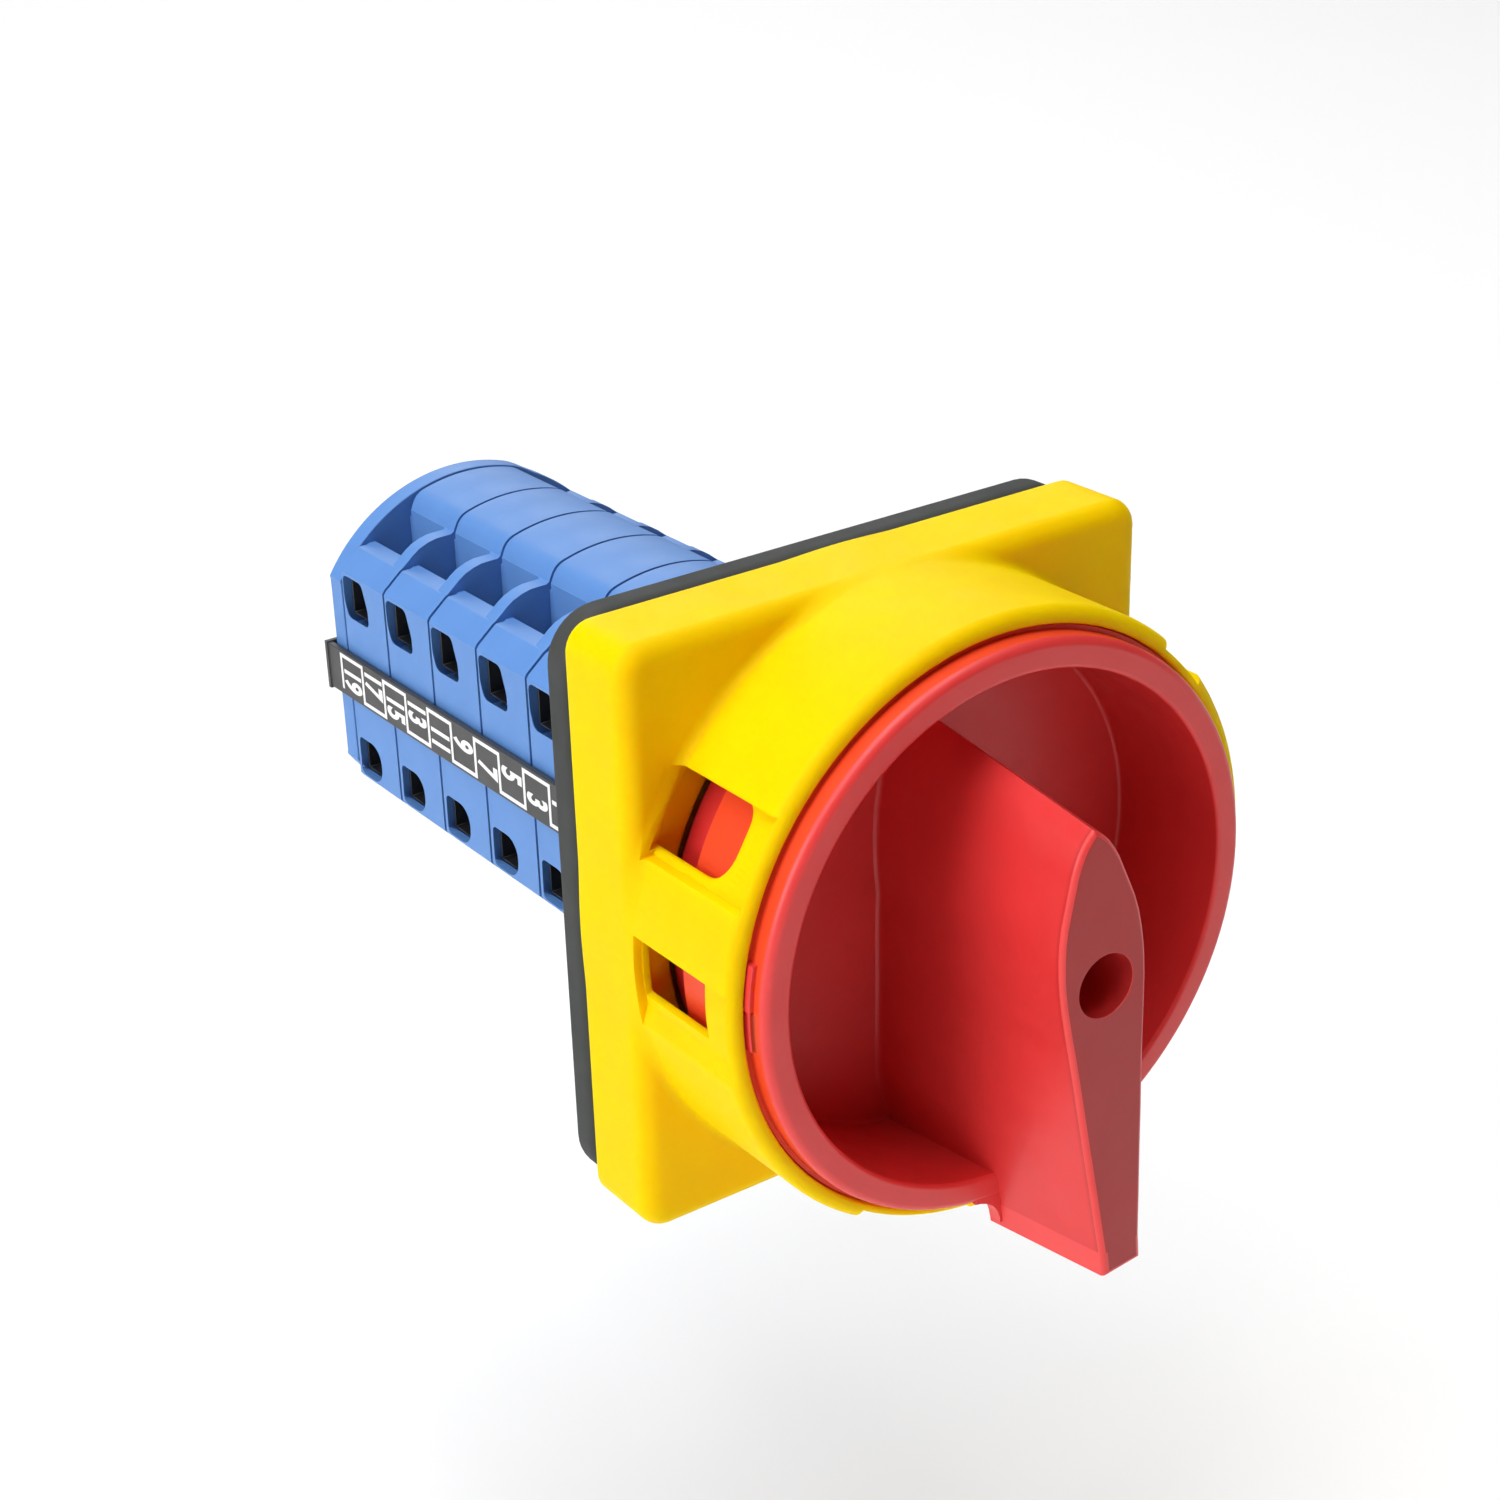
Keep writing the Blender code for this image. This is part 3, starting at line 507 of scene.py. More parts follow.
tools = []
for side in (1, -1):
    y0, y1, z0, z1 = -24.75, PLATE_FRONT + 0.02, 11.3, 18.7
    outline = filleted([(y1, z0), (y0, z0), (y0, z1), (y1, z1)], [0, 3.9, 1.9, 0], 9)
    tools.append(window_tool("window_tool_%d" % side, side, outline, y1))
    # the window runs a little way into the plate
    notch = [(-12.6, z0), (-16.0, z0), (-16.0, z1 + 0.15), (-12.6, z1 + 0.15)]
    tools.append(loft("notch_%d" % side, [[(-side * math.sqrt(r * r - z * z), y, side * z) for y, z in notch] for r in (31.8, 29.9)]))
    bm = bmesh.new()
    for x, (ya, yb), (za, zb) in ((32.6, (-24.2, -13.62), (-4.6, 2.15)), (31.25, (-24.15, -14.0), (-4.1, 2.1)), (29.6, (-24.1, -14.2), (-1.0, 2.0)), (25.0, (-24.1, -14.2), (-1.0, 2.0))):
        for y in (ya, yb):
            for z in (za, zb):
                bm.verts.new((-x * side * MM, y * MM, z * side * MM))
    bmesh.ops.convex_hull(bm, input=bm.verts)
    bmesh.ops.recalc_face_normals(bm, faces=bm.faces)
    mesh = bpy.data.meshes.new("mouth")
    bm.to_mesh(mesh)
    bm.free()
    mouth = keep("mouth_tool_%d" % side, mesh)
    x0, x1 = sorted((-34.0 * side, -24.0 * side))
    z0, z1 = sorted((-1.0 * side, 2.0 * side))
    boolean(mouth, [block("slot_tool_%d" % side, (x0, -24.1, z0), (x1, -14.2, z1))], "UNION")
    tools.append(mouth)
boolean(front, tools)
boolean(front, [step_tool("step_%d_%d" % (side, i), side, *zone) for side in (1, -1) for i, zone in enumerate(((10.75, 19.3), (-4.9, 3.0, 2.4)))]
        + [turn_tool("turn_a", 36.0, 48.5), turn_tool("turn_b", -123.0, -95.0)])
smooth(front, 38.0, weigh=False)
paint(front, YELLOW)

# ---- seal frame -------------------------------------------------------------


def rounded_square(half, r, n=10):
    k = half - r
    return (arc(k, k, r, 0, 90, n) + arc(-k, k, r, 90, 180, n)
            + arc(-k, -k, r, 180, 270, n) + arc(k, -k, r, 270, 360, n))


seal_rings = []
for inset, y in ((1.5, -SEAL_T), (0.9, -SEAL_T + 0.05), (0.5, -SEAL_T + 0.22), (0.2, -SEAL_T + 0.5), (0.04, -SEAL_T + 0.95), (0.0, -SEAL_T + 1.4),
                 (0.0, -0.7), (0.06, -0.35), (0.2, -0.1), (0.5, 0.0)):
    seal_rings.append([(x, y, z) for x, z in rounded_square(SEAL / 2 - inset, SEAL_CORNER - inset)])
seal = loft("panel_seal_look", seal_rings)
boolean(seal, [rod("seal_bore", 5.6, (0, -2, 0), 8, steps=64)])
smooth(seal, 40.0)
paint(seal, SEAL_GREY)

# ---- block ------------------------------------------------------------------
hump = [(-x, z) for x, z in arc(0, 0, BLOCK_R, 90, 90 - 16.6, 12)]
corner = [(-6.75, 20.5), (-7.2, 20.15), (-7.55, 19.7), (-7.85, 19.1), (-8.05, 18.62), (-8.4, 18.4)]
shoulder = [(-9.4, 18.4), (-10.5, 18.36), (-11.6, 18.12), (-12.8, 17.65), (-13.7, 17.05), (-14.3, 16.55)]
RIB = both_ways(hump + corner + shoulder + [(-15.1, 15.85), (-15.8, 15.1), (-16.6, 14.1), (-17.3, 13.05), (-17.9, 12.0), (-BLOCK_W, 11.3), (-BLOCK_W, 6.0), (-BLOCK_W, 0.9)])
BODY = both_ways(hump + corner + shoulder + [(-15.3, 15.77), (-15.7, 15.55), (-17.9, 13.75), (-BLOCK_W, 13.3), (-BLOCK_W, 6.0), (-BLOCK_W, 0.9)])
# the upper right wall stands a little lower than the left one
BODY = [((x, z - min(0.55, (x - 7.5) * 0.8)) if x > 7.5 and z > 12.5 else (x, z)) for x, z in BODY]
COVER = both_ways([(-x, z) for x, z in arc(0, 0, BLOCK_R + 0.12, 90, 90 - 57.2, 26)] + [(-BLOCK_W, 11.4), (-BLOCK_W, 6.0), (-BLOCK_W, 0.9)])
COVER = [((x, z - min(0.35, (x - 7.5) * 0.15)) if x > 7.5 and z > 10.0 else (x, z)) for x, z in COVER]
FLOOR_Z = 6.15
POCKET = filleted([(-8.1, 24.0), (-8.1, FLOOR_Z), (-18.1, FLOOR_Z), (-18.1, 12.55), (-17.3, 13.0), (-15.4, 14.55),
                   (-13.1, 14.55), (-13.1, 15.7), (-16.4, 15.7), (-16.4, 24.0)],
                  [0, 0.5, 0.5, 0.3, 0.3, 0.3, 0.0, 0.0, 0, 0], 3)


def bolt_holes(name, y0, y1):
    return [rod("%s_%d" % (name, i), 1.75, (0, (y0 + y1) / 2, z + ZC), y1 - y0, steps=32) for i, z in enumerate((17.2, -17.2))]


def wire_tool(name, sx, sz):
    """The opening in a side wall: square towards the rear, round towards the front."""
    if sz > 0:
        loop = filleted([(4.2, 7.6), (9.25, 7.6), (9.95, 9.6), (10.0, 12.95), (5.3, 12.95), (4.2, 9.8)], [0.8, 1.0, 3.0, 0.9, 1.0, 3.0], 5)
    else:
        loop = filleted([(4.3, 8.2), (9.6, 8.2), (9.7, 13.2), (4.3, 13.2)], [2.2, 0.7, 0.8, 2.2], 6)
    xa, xb = sorted((16.9 * sx, 19.6 * sx))
    rings_at = [[(x, y, z * sz + ZC) for y, z in loop] for x in (xa, xb)]
    return loft(name, rings_at)


stage = prism("stage_look", BODY, 0.0, STAGE_T - 0.15)
boolean(stage, [prism("spigot", [(x * 0.96, ZC + (z - ZC) * 0.96) for x, z in BODY], STAGE_T - 0.6, PITCH - 0.04)], "UNION")
tools = [block("cavity", (-7.3, WALL_T, -13.05 + ZC), (7.3, STAGE_T + 1, 13.05 + ZC)), rod("bore", 4.6, (0, 1, 0), 4)]
for sx in (-1, 1):
    for sz in (-1, 1):
        tag = "%d_%d" % (sx, sz)
        tools.append(prism("pocket_" + tag, [(-x * sx, z * sz + ZC) for x, z in POCKET], WALL_T, STAGE_T + 2))
        tools.append(wire_tool("wire_" + tag, sx, sz))
        xa, xb = sorted((7.0 * sx, 8.4 * sx))
        za, zb = sorted((6.2 * sz, 7.75 * sz))
        tools.append(block("slot_" + tag, (xa, 4.1, za + ZC), (xb, 9.5, zb + ZC)))
tools += bolt_holes("stage_bolt", -1.0, STAGE_T + 1)
boolean(stage, tools)
soften(stage, 0.34, 3, 30.0)
paint(stage, BLUE)
stage_mesh = stage.data
stages = []
for k in range(STAGES):
    obj = stage if k == 0 else keep("stage_look_%d" % (k + 1), stage_mesh)
    obj.name = "stage_look_%d" % (k + 1)
    obj.location = (0.0, (FIRST + PITCH * k) * MM, 0.0)
    stages.append(obj)

cover = prism("rear_cover_look", COVER, *COVER_Y)
boolean(cover, bolt_holes("cover_bolt", COVER_Y[0] - 1, COVER_Y[1] + 1))
soften(cover, 0.5, 3, 30.0)
paint(cover, BLUE)

mech = prism("mechanism_look", RIB, *MECH_Y)
boolean(mech, [block("mech_cavity", (-16.4, 4.6, -8.6), (16.4, 18.0, 8.6)), rod("mech_bore", 4.6, (0, 3, 0), 6)] + bolt_holes("mech_bolt", 6.0, 18.0))
soften(mech, 0.35, 3, 30.0)
paint(mech, BLUE)

# ---- number strips ----------------------------------------------------------
STRIP_Y, STRIP_Z = (17.2, 73.4), (-3.7, 2.1)
labels = []
for sx, name in ((-1, "left"), (1, "right")):
    xa, xb = sorted(((BLOCK_W + 0.3) * sx, (BLOCK_W + 1.0) * sx))
    strip = block("number_strip_%s_look" % name, (xa, STRIP_Y[0], STRIP_Z[0]), (xb, STRIP_Y[1], STRIP_Z[1]))
    xa, xb = sorted(((BLOCK_W - 1.2) * sx, (BLOCK_W + 1.2) * sx))
    hook = block("hook_" + name, (xa, COVER_Y[1] + 0.3, STRIP_Z[0] - 0.2), (xb, COVER_Y[1] + 0.95, STRIP_Z[1] + 0.2))
    boolean(strip, [hook], "UNION")
    soften(strip, 0.16, 2, 30.0)
    paint(strip, LABEL)
    labels.append((strip, sx, name))


def strip_print(sx, name):
    """The white meander and the terminal numbers on a strip, as one thin mesh."""
    face = (BLOCK_W + 1.0) * sx
    step, wide = 5.28, 0.46
    top, low = 1.55, -3.1
    start = 22.3 - step
    made = bmesh.new()

    def bar(y0, y1, z0, z1):
        x0, x1 = sorted((face - 0.05 * sx, face + 0.035 * sx))
        corners = [made.verts.new((x * MM, y * MM, z * MM)) for x in (x0, x1) for y in (y0, y1) for z in (z0, z1)]
        for f in ((0, 1, 3, 2), (4, 6, 7, 5), (0, 4, 5, 1), (2, 3, 7, 6), (0, 2, 6, 4), (1, 5, 7, 3)):
            made.faces.new([corners[i] for i in f])

    h = wide / 2
    for n in range(10):
        ya, yb = start + step * n, start + step * (n + 1)
        level = low if n % 2 == 0 else top
        bar(ya - h, yb + h, level - h, level + h)
        bar(yb - h, yb + h, low + h, top - h)
    bar(start - h, start + h, low + h, top - h)
    bmesh.ops.recalc_face_normals(made, faces=made.faces)
    mesh = bpy.data.meshes.new("strip_print_" + name)
    made.to_mesh(mesh)
    made.free()
    whole = keep("strip_print_" + name, mesh)
    pieces = [whole]
    for n in range(10):
        number = 2 * n + (1 if sx < 0 else 2)
        curve = bpy.data.curves.new("digits", "FONT")
        curve.body = str(number)
        curve.size = 5.6 * MM
        curve.offset = (0.10 if "6" in curve.body else 0.19) * MM
        curve.extrude = 0.03 * MM
        curve.align_x = "CENTER"
        curve.align_y = "CENTER"
        text = keep("digits", curve)
        graph = bpy.context.evaluated_depsgraph_get()
        graph.update()
        flat = bpy.data.meshes.new_from_object(text.evaluated_get(graph))
        bpy.data.objects.remove(text, do_unlink=True)
        co = np.zeros(len(flat.vertices) * 3)
        flat.vertices.foreach_get("co", co)
        co = co.reshape(-1, 3)
        co[:, 0] -= (co[:, 0].min() + co[:, 0].max()) / 2
        co[:, 1] -= (co[:, 1].min() + co[:, 1].max()) / 2
        squeeze = 0.55
        y = start + step * (n + 0.5)
        middle = (top + low) / 2 + (0.62 if n % 2 == 0 else -0.62)
        out = np.zeros_like(co)
        if sx < 0:
            out[:, 0] = face * MM - co[:, 2] - 0.0 * MM
            out[:, 1] = y * MM - co[:, 1]
            out[:, 2] = middle * MM - co[:, 0] * squeeze
        else:
            out[:, 0] = face * MM + co[:, 2]
            out[:, 1] = y * MM - co[:, 1]
            out[:, 2] = middle * MM + co[:, 0] * squeeze
        flat.vertices.foreach_set("co", out.reshape(-1))
        pieces.append(keep("digit_%s_%d" % (name, number), flat))
    merged = bmesh.new()
    for piece in pieces:
        merged.from_mesh(piece.data)
    bmesh.ops.remove_doubles(merged, verts=merged.verts, dist=1e-8)
    bmesh.ops.recalc_face_normals(merged, faces=merged.faces)
    final = bpy.data.meshes.new("strip_print_" + name)
    merged.to_mesh(final)
    merged.free()
    for piece in pieces:
        bpy.data.objects.remove(piece, do_unlink=True)
    return paint(keep("strip_print_" + name, final), PRINT)


prints = [(strip_print(sx, name), name) for _, sx, name in labels]

# ---- knob -------------------------------------------------------------------
BOWL_R, RIM_R, SIDE_R, RIM_Y, FLOOR_Y = 26.8, 29.85, 29.4, -31.7, -17.4


def quarter(cx, cy, r, a0, a1, n):
    return arc(cx, cy, r, a0, a1, n)


knob_profile = [(0, FLOOR_Y), (6, FLOOR_Y), (12, FLOOR_Y), (17, FLOOR_Y), (21, FLOOR_Y), (BOWL_R - 0.5, FLOOR_Y)]
knob_profile += quarter(BOWL_R - 0.5, FLOOR_Y - 0.5, 0.5, 90, 0, 6)[1:]
knob_profile += [(BOWL_R, FLOOR_Y - 6), (BOWL_R, FLOOR_Y - 10), (BOWL_R, RIM_Y + 0.5)]
knob_profile += [(BOWL_R + 0.5 - 0.5 * math.cos(t), RIM_Y + 0.5 - 0.5 * math.sin(t)) for t in np.linspace(0, math.pi / 2, 7)[1:]]
knob_profile += [(RIM_R - 1.6, RIM_Y - 0.0)]
knob_profile += [(RIM_R - 1.05 + 1.05 * math.sin(t), RIM_Y + 1.05 - 1.05 * math.cos(t)) for t in np.linspace(0, math.pi / 2, 10)[1:]]
knob_profile += [(RIM_R, -29.0), (RIM_R + 0.05, -28.93), (30.28, -28.9), (30.36, -28.82), (30.36, -28.2), (30.2, -27.95), (SIDE_R, -27.3), (SIDE_R, -24.0), (SIDE_R, -18.0), (SIDE_R - 0.25, -17.75),
                 (27.1, -17.7), (27.0, -17.6), (27.0, -12.75), (26.75, -12.5), (24.7, -12.5), (24.5, -12.7), (24.5, -14.9), (6.5, -14.9),
                 (6.5, -11.0), (0, -11.0)]
knob = turned("knob_look", knob_profile, 256)

GRIP_Y, GRIP_END = -44.5, -33.4
FACE = [(16.55, 0.0), (16.0, 0.75), (15.4, 1.32), (14.8, 1.8), (13.8, 2.35), (12.7, 2.85), (10.6, 3.55), (8.0, 4.4), (6.2, 4.8), (4.3, 5.03), (2.6, 5.14), (1.0, 5.15),
        (-1.0, 5.05), (-3.0, 4.88), (-5.2, 4.66), (-7.6, 4.4), (-11.5, 4.05), (-15.7, 3.7), (-19.4, 3.36), (-23.0, 3.05), (-27.0, 2.72), (-30.5, 2.42), (GRIP_END, 2.35)]


def spread(z):
    return 0.157 * min(1.0, max(0.0, (1.0 - z) / 20.0))


def grip_ring(y, inset=0.0, flare=0.0):
    half = []
    for z, w in FACE:
        w = w + spread(z) * (y - GRIP_Y)
        if z > 1.0:
            z = 1.0 + (z - 1.0) * (1.0 + 0.0105 * (y - GRIP_Y))
        half.append(Vector((w, z)))
    n = len(half)
    moved = []
    for i, p in enumerate(half):
        a = half[max(i - 1, 0)]
        b = half[min(i + 1, n - 1)]
        if i == 0:
            normal = Vector((0.0, 1.0))
        elif i == n - 1:
            normal = Vector((1.0, -1.0))
        else:
            d = (b - a).normalized()
            normal = Vector((-d.y, d.x))
        q = p + normal * (flare - inset)
        if i == 0:
            q.x = 0.0
        if i == n - 1:
            q = Vector((p.x + flare - inset, p.y - flare + inset))
        moved.append(q)
    right = [(q.x, y, q.y) for q in moved]
    left = [(-q.x, y, q.y) for q in reversed(moved[1:])]
    return right + left


levels = [(GRIP_Y + 0.6 - 0.6 * math.sin(t), 0.6 - 0.6 * math.cos(t), 0.0) for t in np.linspace(math.pi / 2, 0, 6)]
levels += [(y, 0.0, 0.0) for y in (-42.0, -39.0, -36.0, -33.0, -30.0, -27.0, -24.0, -21.0, -19.0)]
levels += [(FLOOR_Y - 0.6, 0.0, 0.0), (FLOOR_Y - 0.3, 0.0, 0.08), (FLOOR_Y - 0.12, 0.0, 0.24), (FLOOR_Y - 0.02, 0.0, 0.5), (FLOOR_Y + 0.35, 0.0, 0.7), (FLOOR_Y + 1.2, 0.0, 0.7)]
grip = loft("grip", [grip_ring(y, i, f) for y, i, f in levels])
trim = turned("trim", [(28.4, -29.9), (28.4, 5.0), (60.0, 5.0), (60.0, -29.9)], 256, loop=True)
boolean(grip, [trim])
hole = rod("hole", 3.3, (0, -42.0, 0), 40.0, steps=64)
boolean(grip, [hole])
edge = grip.modifiers.new("edge", "BEVEL")
edge.width = 0.25 * MM
edge.segments = 2
edge.limit_method = "ANGLE"
edge.angle_limit = math.radians(34)
settle(grip)
webs = []
for sx in (-1, 1):
    web = []
    for i in range(9):
        t = i / 8
        a, b, c = (1 - t) ** 2, 2 * t * (1 - t), t * t
        web.append((sx * (7.6 * a + 4.66 * b + 4.66 * c), -28.86 * a - 29.65 * b - 32.65 * c))
    webs.append(prism("web_%d" % sx, web + [(sx * 3.9, -32.65), (sx * 3.9, -28.0), (sx * 7.3, -28.0)], RIM_Y + 0.12, RIM_Y + 1.8))
boolean(knob, [grip], "UNION")
boolean(knob, webs, "UNION")
boolean(knob, [rod("knob_hole", 3.3, (0, -42.0, 0), 40.0, steps=64),
               block("shaft_hole", (-2.55, -19.0, -2.55), (2.55, 0, 2.55)), rod("shank", 1.9, (0, -20, 0), 10, steps=32)])
lug_tools = []
for z0, z1, r1, y0, y1 in ((4.4, 9.0, 30.38, -30.0, -28.6), (0.0, 4.2, 30.15, -29.7, -28.6)):
    lug = turned("lug", [(28.8, y0), (r1 - 0.1, y0), (r1, y0 + 0.1), (r1, y1), (28.8, y1)], 256, loop=True)
    boolean(lug, [block("lug_box", (-33, y0 - 1, z0), (-26, y1 + 1, z1))], "INTERSECT")
    lug_tools.append(lug)
boolean(knob, lug_tools, "UNION")
smooth(knob, 33.0, weigh=True)
paint(knob, RED)
knob.data.materials.append(RED_PAINTED_HIGHLIGHT)
knob.data.materials.append(RED_PAINTED_BOUNCE)
# painted highlight: the rim, the grip's front edges and the lugs get a lighter red, standing in for the light they
# catch; painted reflection: the sides inside the collar get an orange-tinted red, standing in for the yellow collar's
# light on them
for face in knob.data.polygons:
    spot, normal = face.center / MM, face.normal
    far = math.hypot(spot.x, spot.z)
    rim = 26.75 < far < 29.84 and -31.72 < spot.y < -30.9 and normal.y < -0.22
    nose = spot.y < GRIP_Y + 0.6 and -0.98 < normal.y < -0.12
    lug = far > 30.05 and spot.y < -28.95
    side = far > 29.25 and -30.9 <= spot.y < -17.6
    face.material_index = 1 if rim or nose or lug else 2 if side else 0
knob.data.transform(Matrix.Rotation(math.radians(REST_TURN), 4, "Y"))

# ---- terminals: contact strip, clamping screw and pressure plate ------------
def rod_profile(x, y, profile, steps=40):
    """A turned part whose axis stands along Z at (x, y)."""
    obj = turned("turned", profile, steps)
    obj.data.transform(Matrix.Translation(Vector((x, y, 0)) * MM) @ Matrix.Rotation(math.radians(90), 4, "X"))
    return obj


thread, z = [(0, 7.3), (1.2, 7.3)], 7.45
while z < 11.9:
    thread += [(1.28, z), (1.5, z + 0.2)]
    z += 0.45
thread += [(1.5, 12.1), (0, 12.1)]
screw_head = rod_profile(-10.6, 0, [(0, 11.95), (1.95, 11.95), (2.2, 12.15), (2.2, 12.95), (2.1, 13.17), (1.85, 13.31), (1.4, 13.35), (0, 13.35)])
boolean(screw_head, [block("screw_slot", (-13.5, -0.4, 12.7), (-7.5, 0.4, 14.0)), block("cross_slot", (-11.0, -1.5, 12.7), (-10.2, 1.5, 14.0))])
smooth(screw_head, 35.0)
plate = block("pressure_plate", (-13.0, -2.9, 11.25), (-8.5, 2.9, 11.85))
soften(plate, 0.15, 2)
strip = block("contact_strip", (-15.8, -2.4, 6.45), (-4.2, 2.4, 7.45))
soften(strip, 0.12, 2)
cage = block("cage", (-17.0, -3.35, 7.55), (-12.5, 3.35, 13.1))
boolean(cage, [block("cage_room", (-18.0, -3.1, 7.75), (-12.0, 3.1, 12.9))])
soften(cage, 0.05, 1)
made = bmesh.new()
# the pressure plate and cage take the dark steel, which partly stands in for the shade inside the wire openings
for part, slot in ((strip, 0), (rod_profile(-10.6, 0, thread), 1), (screw_head, 1), (plate, 2), (cage, 2)):
    start = len(made.faces)
    made.from_mesh(part.data)
    made.faces.ensure_lookup_table()
    for face in made.faces[start:]:
        face.material_index = slot
    bpy.data.objects.remove(part, do_unlink=True)
terminal_mesh = bpy.data.meshes.new("terminal_look")
made.to_mesh(terminal_mesh)
made.free()
for material in (BRASS, STEEL, DARK_STEEL_AND_PAINTED_SHADE):
    terminal_mesh.materials.append(material)
terminals, number = [], 0
for k in range(STAGES):
    for turn_axis in (None, "Z", "X", "Y"):
        number += 1
        obj = keep("terminal_look_%d" % number, terminal_mesh)
        turn = Matrix.Rotation(math.pi, 4, turn_axis) if turn_axis else Matrix.Identity(4)
        obj.matrix_world = Matrix.Translation((0.0, (FIRST + PITCH * k + 6.8) * MM, ZC * MM)) @ turn
        terminals.append(obj)

# ---- detent springs ---------------------------------------------------------
springs = []
for sx, name in ((-1, "left"), (1, "right")):
    curve = bpy.data.curves.new("coil", "CURVE")
    curve.dimensions = "3D"
    curve.bevel_depth = 0.27 * MM
    curve.bevel_resolution = 2
    curve.use_fill_caps = True
    spline = curve.splines.new("POLY")
    spline.points.add(96)
    for i, point in enumerate(spline.points):
        t = i / 96
        a = 2 * math.pi * 3.0 * t
        along = min(max((t - 0.1) / 0.8, 0.0), 1.0)
        point.co = ((13.1 + 2.7 * along) * sx * MM, (7.3 + 1.6 * math.cos(a)) * MM, 1.6 * math.sin(a) * MM, 1.0)
    drawn = keep("coil", curve)
    graph = bpy.context.evaluated_depsgraph_get()
    graph.update()
    mesh = bpy.data.meshes.new_from_object(drawn.evaluated_get(graph))
    bpy.data.objects.remove(drawn, do_unlink=True)
    mesh.name = "detent_spring_look_" + name
    spring = keep("detent_spring_look_" + name, mesh)
    for face in mesh.polygons:
        face.use_smooth = True
    paint(spring, STEEL)
    springs.append((spring, sx, name))

# ---- metal and hidden parts keep their CAD shape ----------------------------
for name, obj in nodes.items():
    if name.startswith("bridge"):
        material = BRASS
    elif name.startswith("cam_") or name in ("star_wheel", "detent_left", "detent_right"):
        material = CAM_WHITE
    elif name in ("shaft", "knob_screw", "tie_bolt_1", "tie_bolt_2", "plate_screw_1", "plate_screw_2"):
        material = STEEL
    else:
        continue
    paint(obj, material)
    if name.startswith(("tie_bolt", "plate_screw", "knob_screw")):
        edge = obj.modifiers.new("edge", "BEVEL")
        edge.width = 0.12 * MM
        edge.segments = 2
        edge.limit_method = "ANGLE"
        edge.angle_limit = math.radians(40)

# ---- what each piece stands for ---------------------------------------------
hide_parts("front_plate")
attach(front, "base")
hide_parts("panel_seal")
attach(seal, "base")
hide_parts("mechanism_housing")
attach(mech, "base")
for k, obj in enumerate(stages):
    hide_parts("stage_housing_%d" % (k + 1))
    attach(obj, "base")
for number, obj in enumerate(terminals):
    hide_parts("terminal_%d" % (number + 1))
    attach(obj, "base")
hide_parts("rear_cover")
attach(cover, "base")
for strip, sx, name in labels:
    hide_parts("number_strip_" + name)
    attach(strip, "base")
for piece, name in prints:
    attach(piece, "base")
for spring, sx, name in springs:
    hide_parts("detent_spring_" + name)
    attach(spring, "base")
    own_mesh(spring)
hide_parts("knob")
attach(knob, "rotor")

# ---- floor, light and camera ------------------------------------------------
FLOOR = -0.105
bpy.ops.mesh.primitive_plane_add(size=6.0, location=(0.0, 0.0, FLOOR))
floor = bpy.context.active_object
floor.name = "floor"
m = Nodes("floor_white")
m.shader.inputs["Base Color"].default_value = (0.93, 0.93, 0.93, 1.0)
m.shader.inputs["Roughness"].default_value = 0.9
m.shader.inputs["Specular IOR Level"].default_value = 0.1
m.shader.inputs["Emission Color"].default_value = (1.0, 1.0, 1.0, 1.0)
m.shader.inputs["Emission Strength"].default_value = 0.05
paint(floor, m.mat)


def area(name, at, aim, size, power, colour=(1.0, 1.0, 1.0)):
    light = bpy.data.lights.new(name, "AREA")
    light.shape = "DISK"
    light.size = size
    light.energy = power
    light.color = colour
    obj = bpy.data.objects.new(name, light)
    scene.collection.objects.link(obj)
    obj.location = at
    obj.rotation_euler = (Vector(aim) - Vector(at)).to_track_quat("-Z", "Y").to_euler()
    return obj


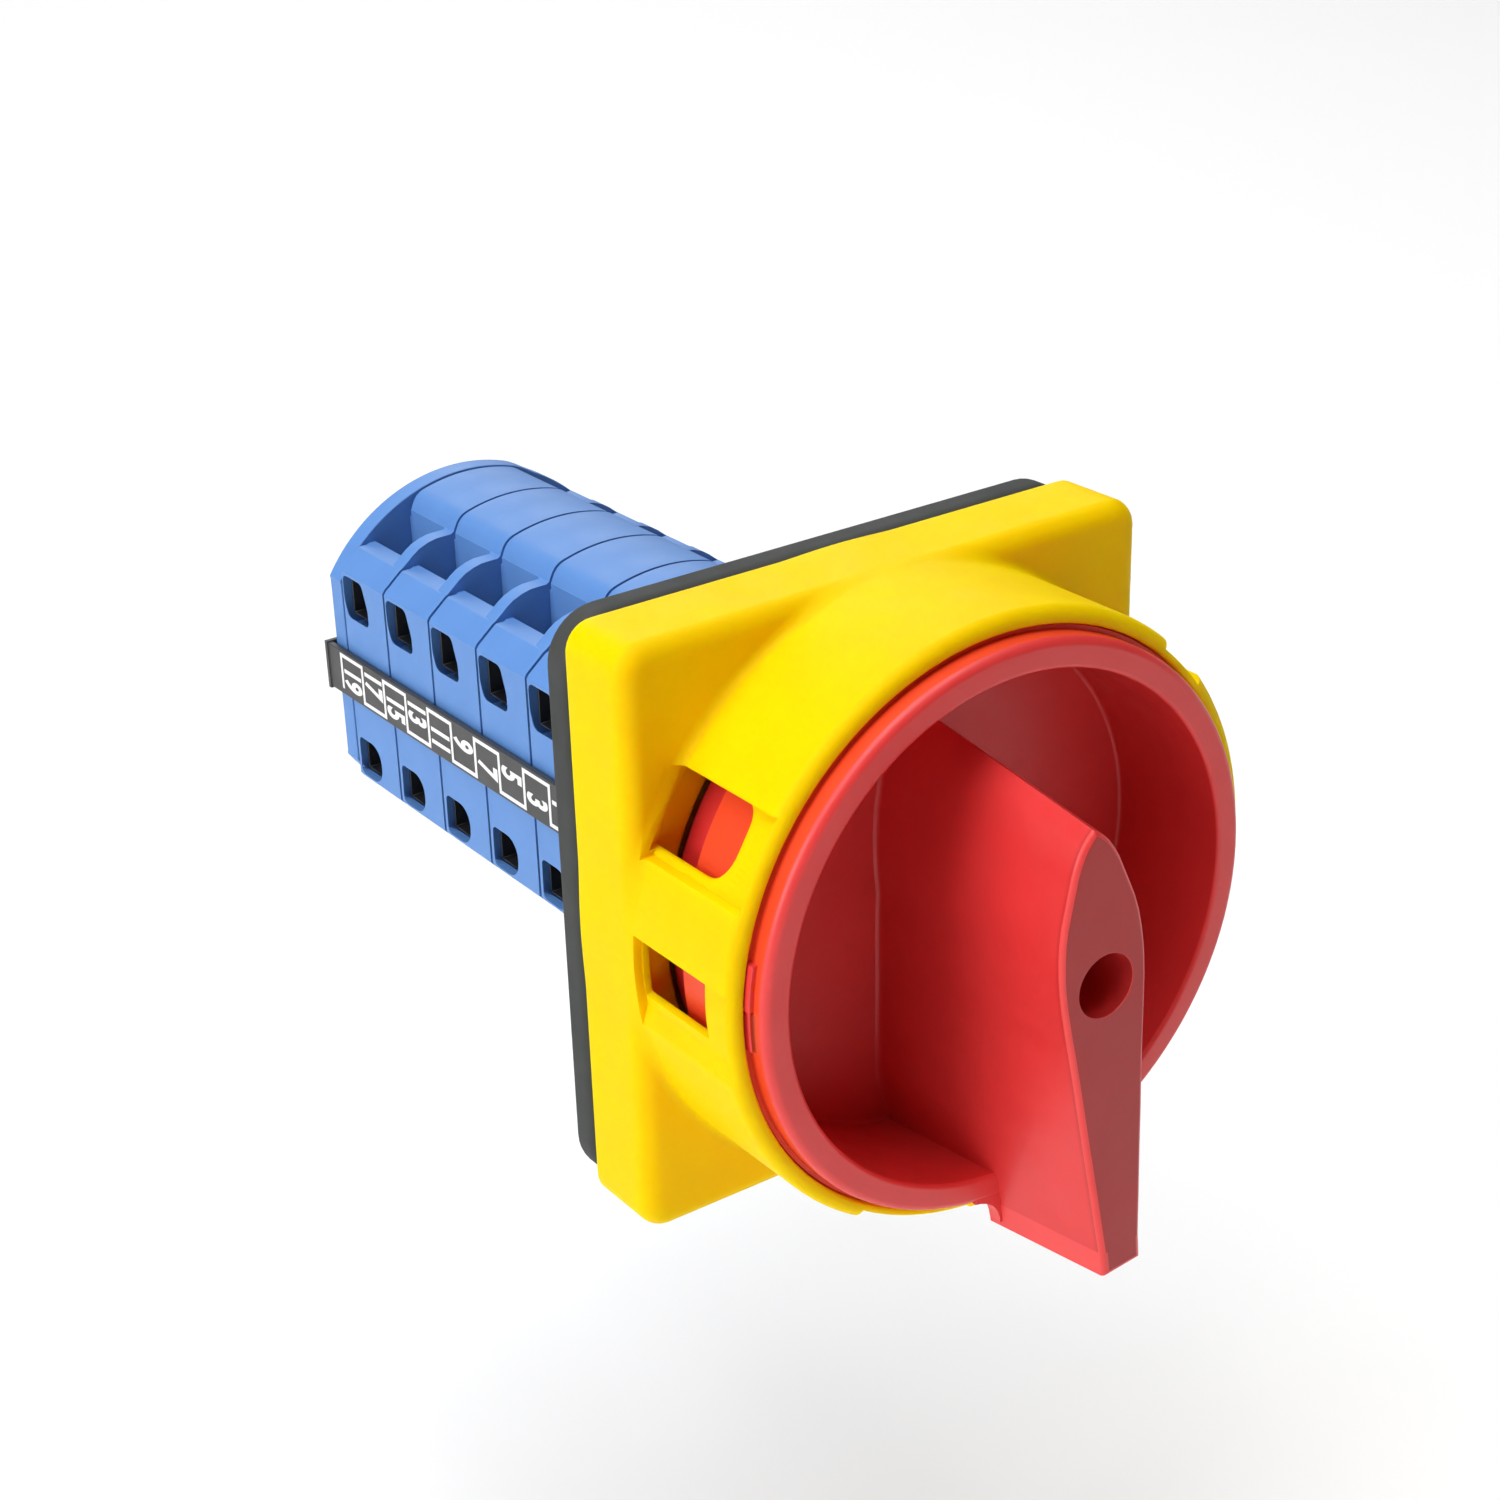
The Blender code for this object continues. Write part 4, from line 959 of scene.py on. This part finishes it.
area("key", (-1.87, 0.08, 0.66), (0, 0, 0), 1.1, 20.5)
area("fill", (-1.08, -0.28, 1.66), (0, 0, 0), 1.32, 13.5)
area("top", (0.0, 0.22, 2.09), (0, 0, 0), 1.98, 33.0)
area("sheen", (0.95, 1.75, 1.15), (0, 0.2, -0.03), 1.5, 14.0)

area("floor_front", (0.3, -2.6, 1.5), (0.2, -4.1, FLOOR), 1.6, 45.0)
area("floor_left", (-2.4, -1.6, 1.5), (-3.6, -2.8, FLOOR), 1.6, 40.0)
area("floor_right", (2.6, -0.2, 1.4), (3.9, -0.2, FLOOR), 1.6, 26.0)

world = bpy.data.worlds.new("studio")
scene.world = world
world.use_nodes = True
back = world.node_tree.nodes["Background"]
back.inputs["Color"].default_value = (1.0, 1.0, 1.0, 1.0)
back.inputs["Strength"].default_value = 0.04

# the camera that the photograph was fitted with
AZ, EL, DIST, ROLL, TX, TZ = -31.83, 25.78, 284.69, -3.20, -23.73, 3.39
FOCAL, CX, CY = 2732.29, 610.5, 800.5
a, e, r = math.radians(AZ), math.radians(EL), math.radians(ROLL)
b = Vector((math.sin(a) * math.cos(e), -math.cos(a) * math.cos(e), math.sin(e)))
right = Vector((math.cos(a), math.sin(a), 0.0))
up = b.cross(right)
right2 = right * math.cos(r) + up * math.sin(r)
up2 = -right * math.sin(r) + up * math.cos(r)
place = b * DIST + right2 * TX + up2 * TZ
data = bpy.data.cameras.new("camera")
data.sensor_fit = "HORIZONTAL"
data.sensor_width = 36.0
data.lens = FOCAL / 1500 * 36.0
data.shift_x = (750.0 - CX) / 1500
data.shift_y = (CY - 750.0) / 1500
data.clip_start = 0.01
data.clip_end = 20.0
camera = bpy.data.objects.new("camera", data)
scene.collection.objects.link(camera)
turn = Matrix((right2, up2, b)).transposed().to_4x4()
camera.matrix_world = Matrix.Translation((place - Vector((0, 3.8, 0))) * MM) @ turn
scene.camera = camera

scene.view_settings.view_transform = "Standard"
scene.view_settings.look = "None"
scene.view_settings.exposure = 0.0
scene.view_settings.gamma = 1.0
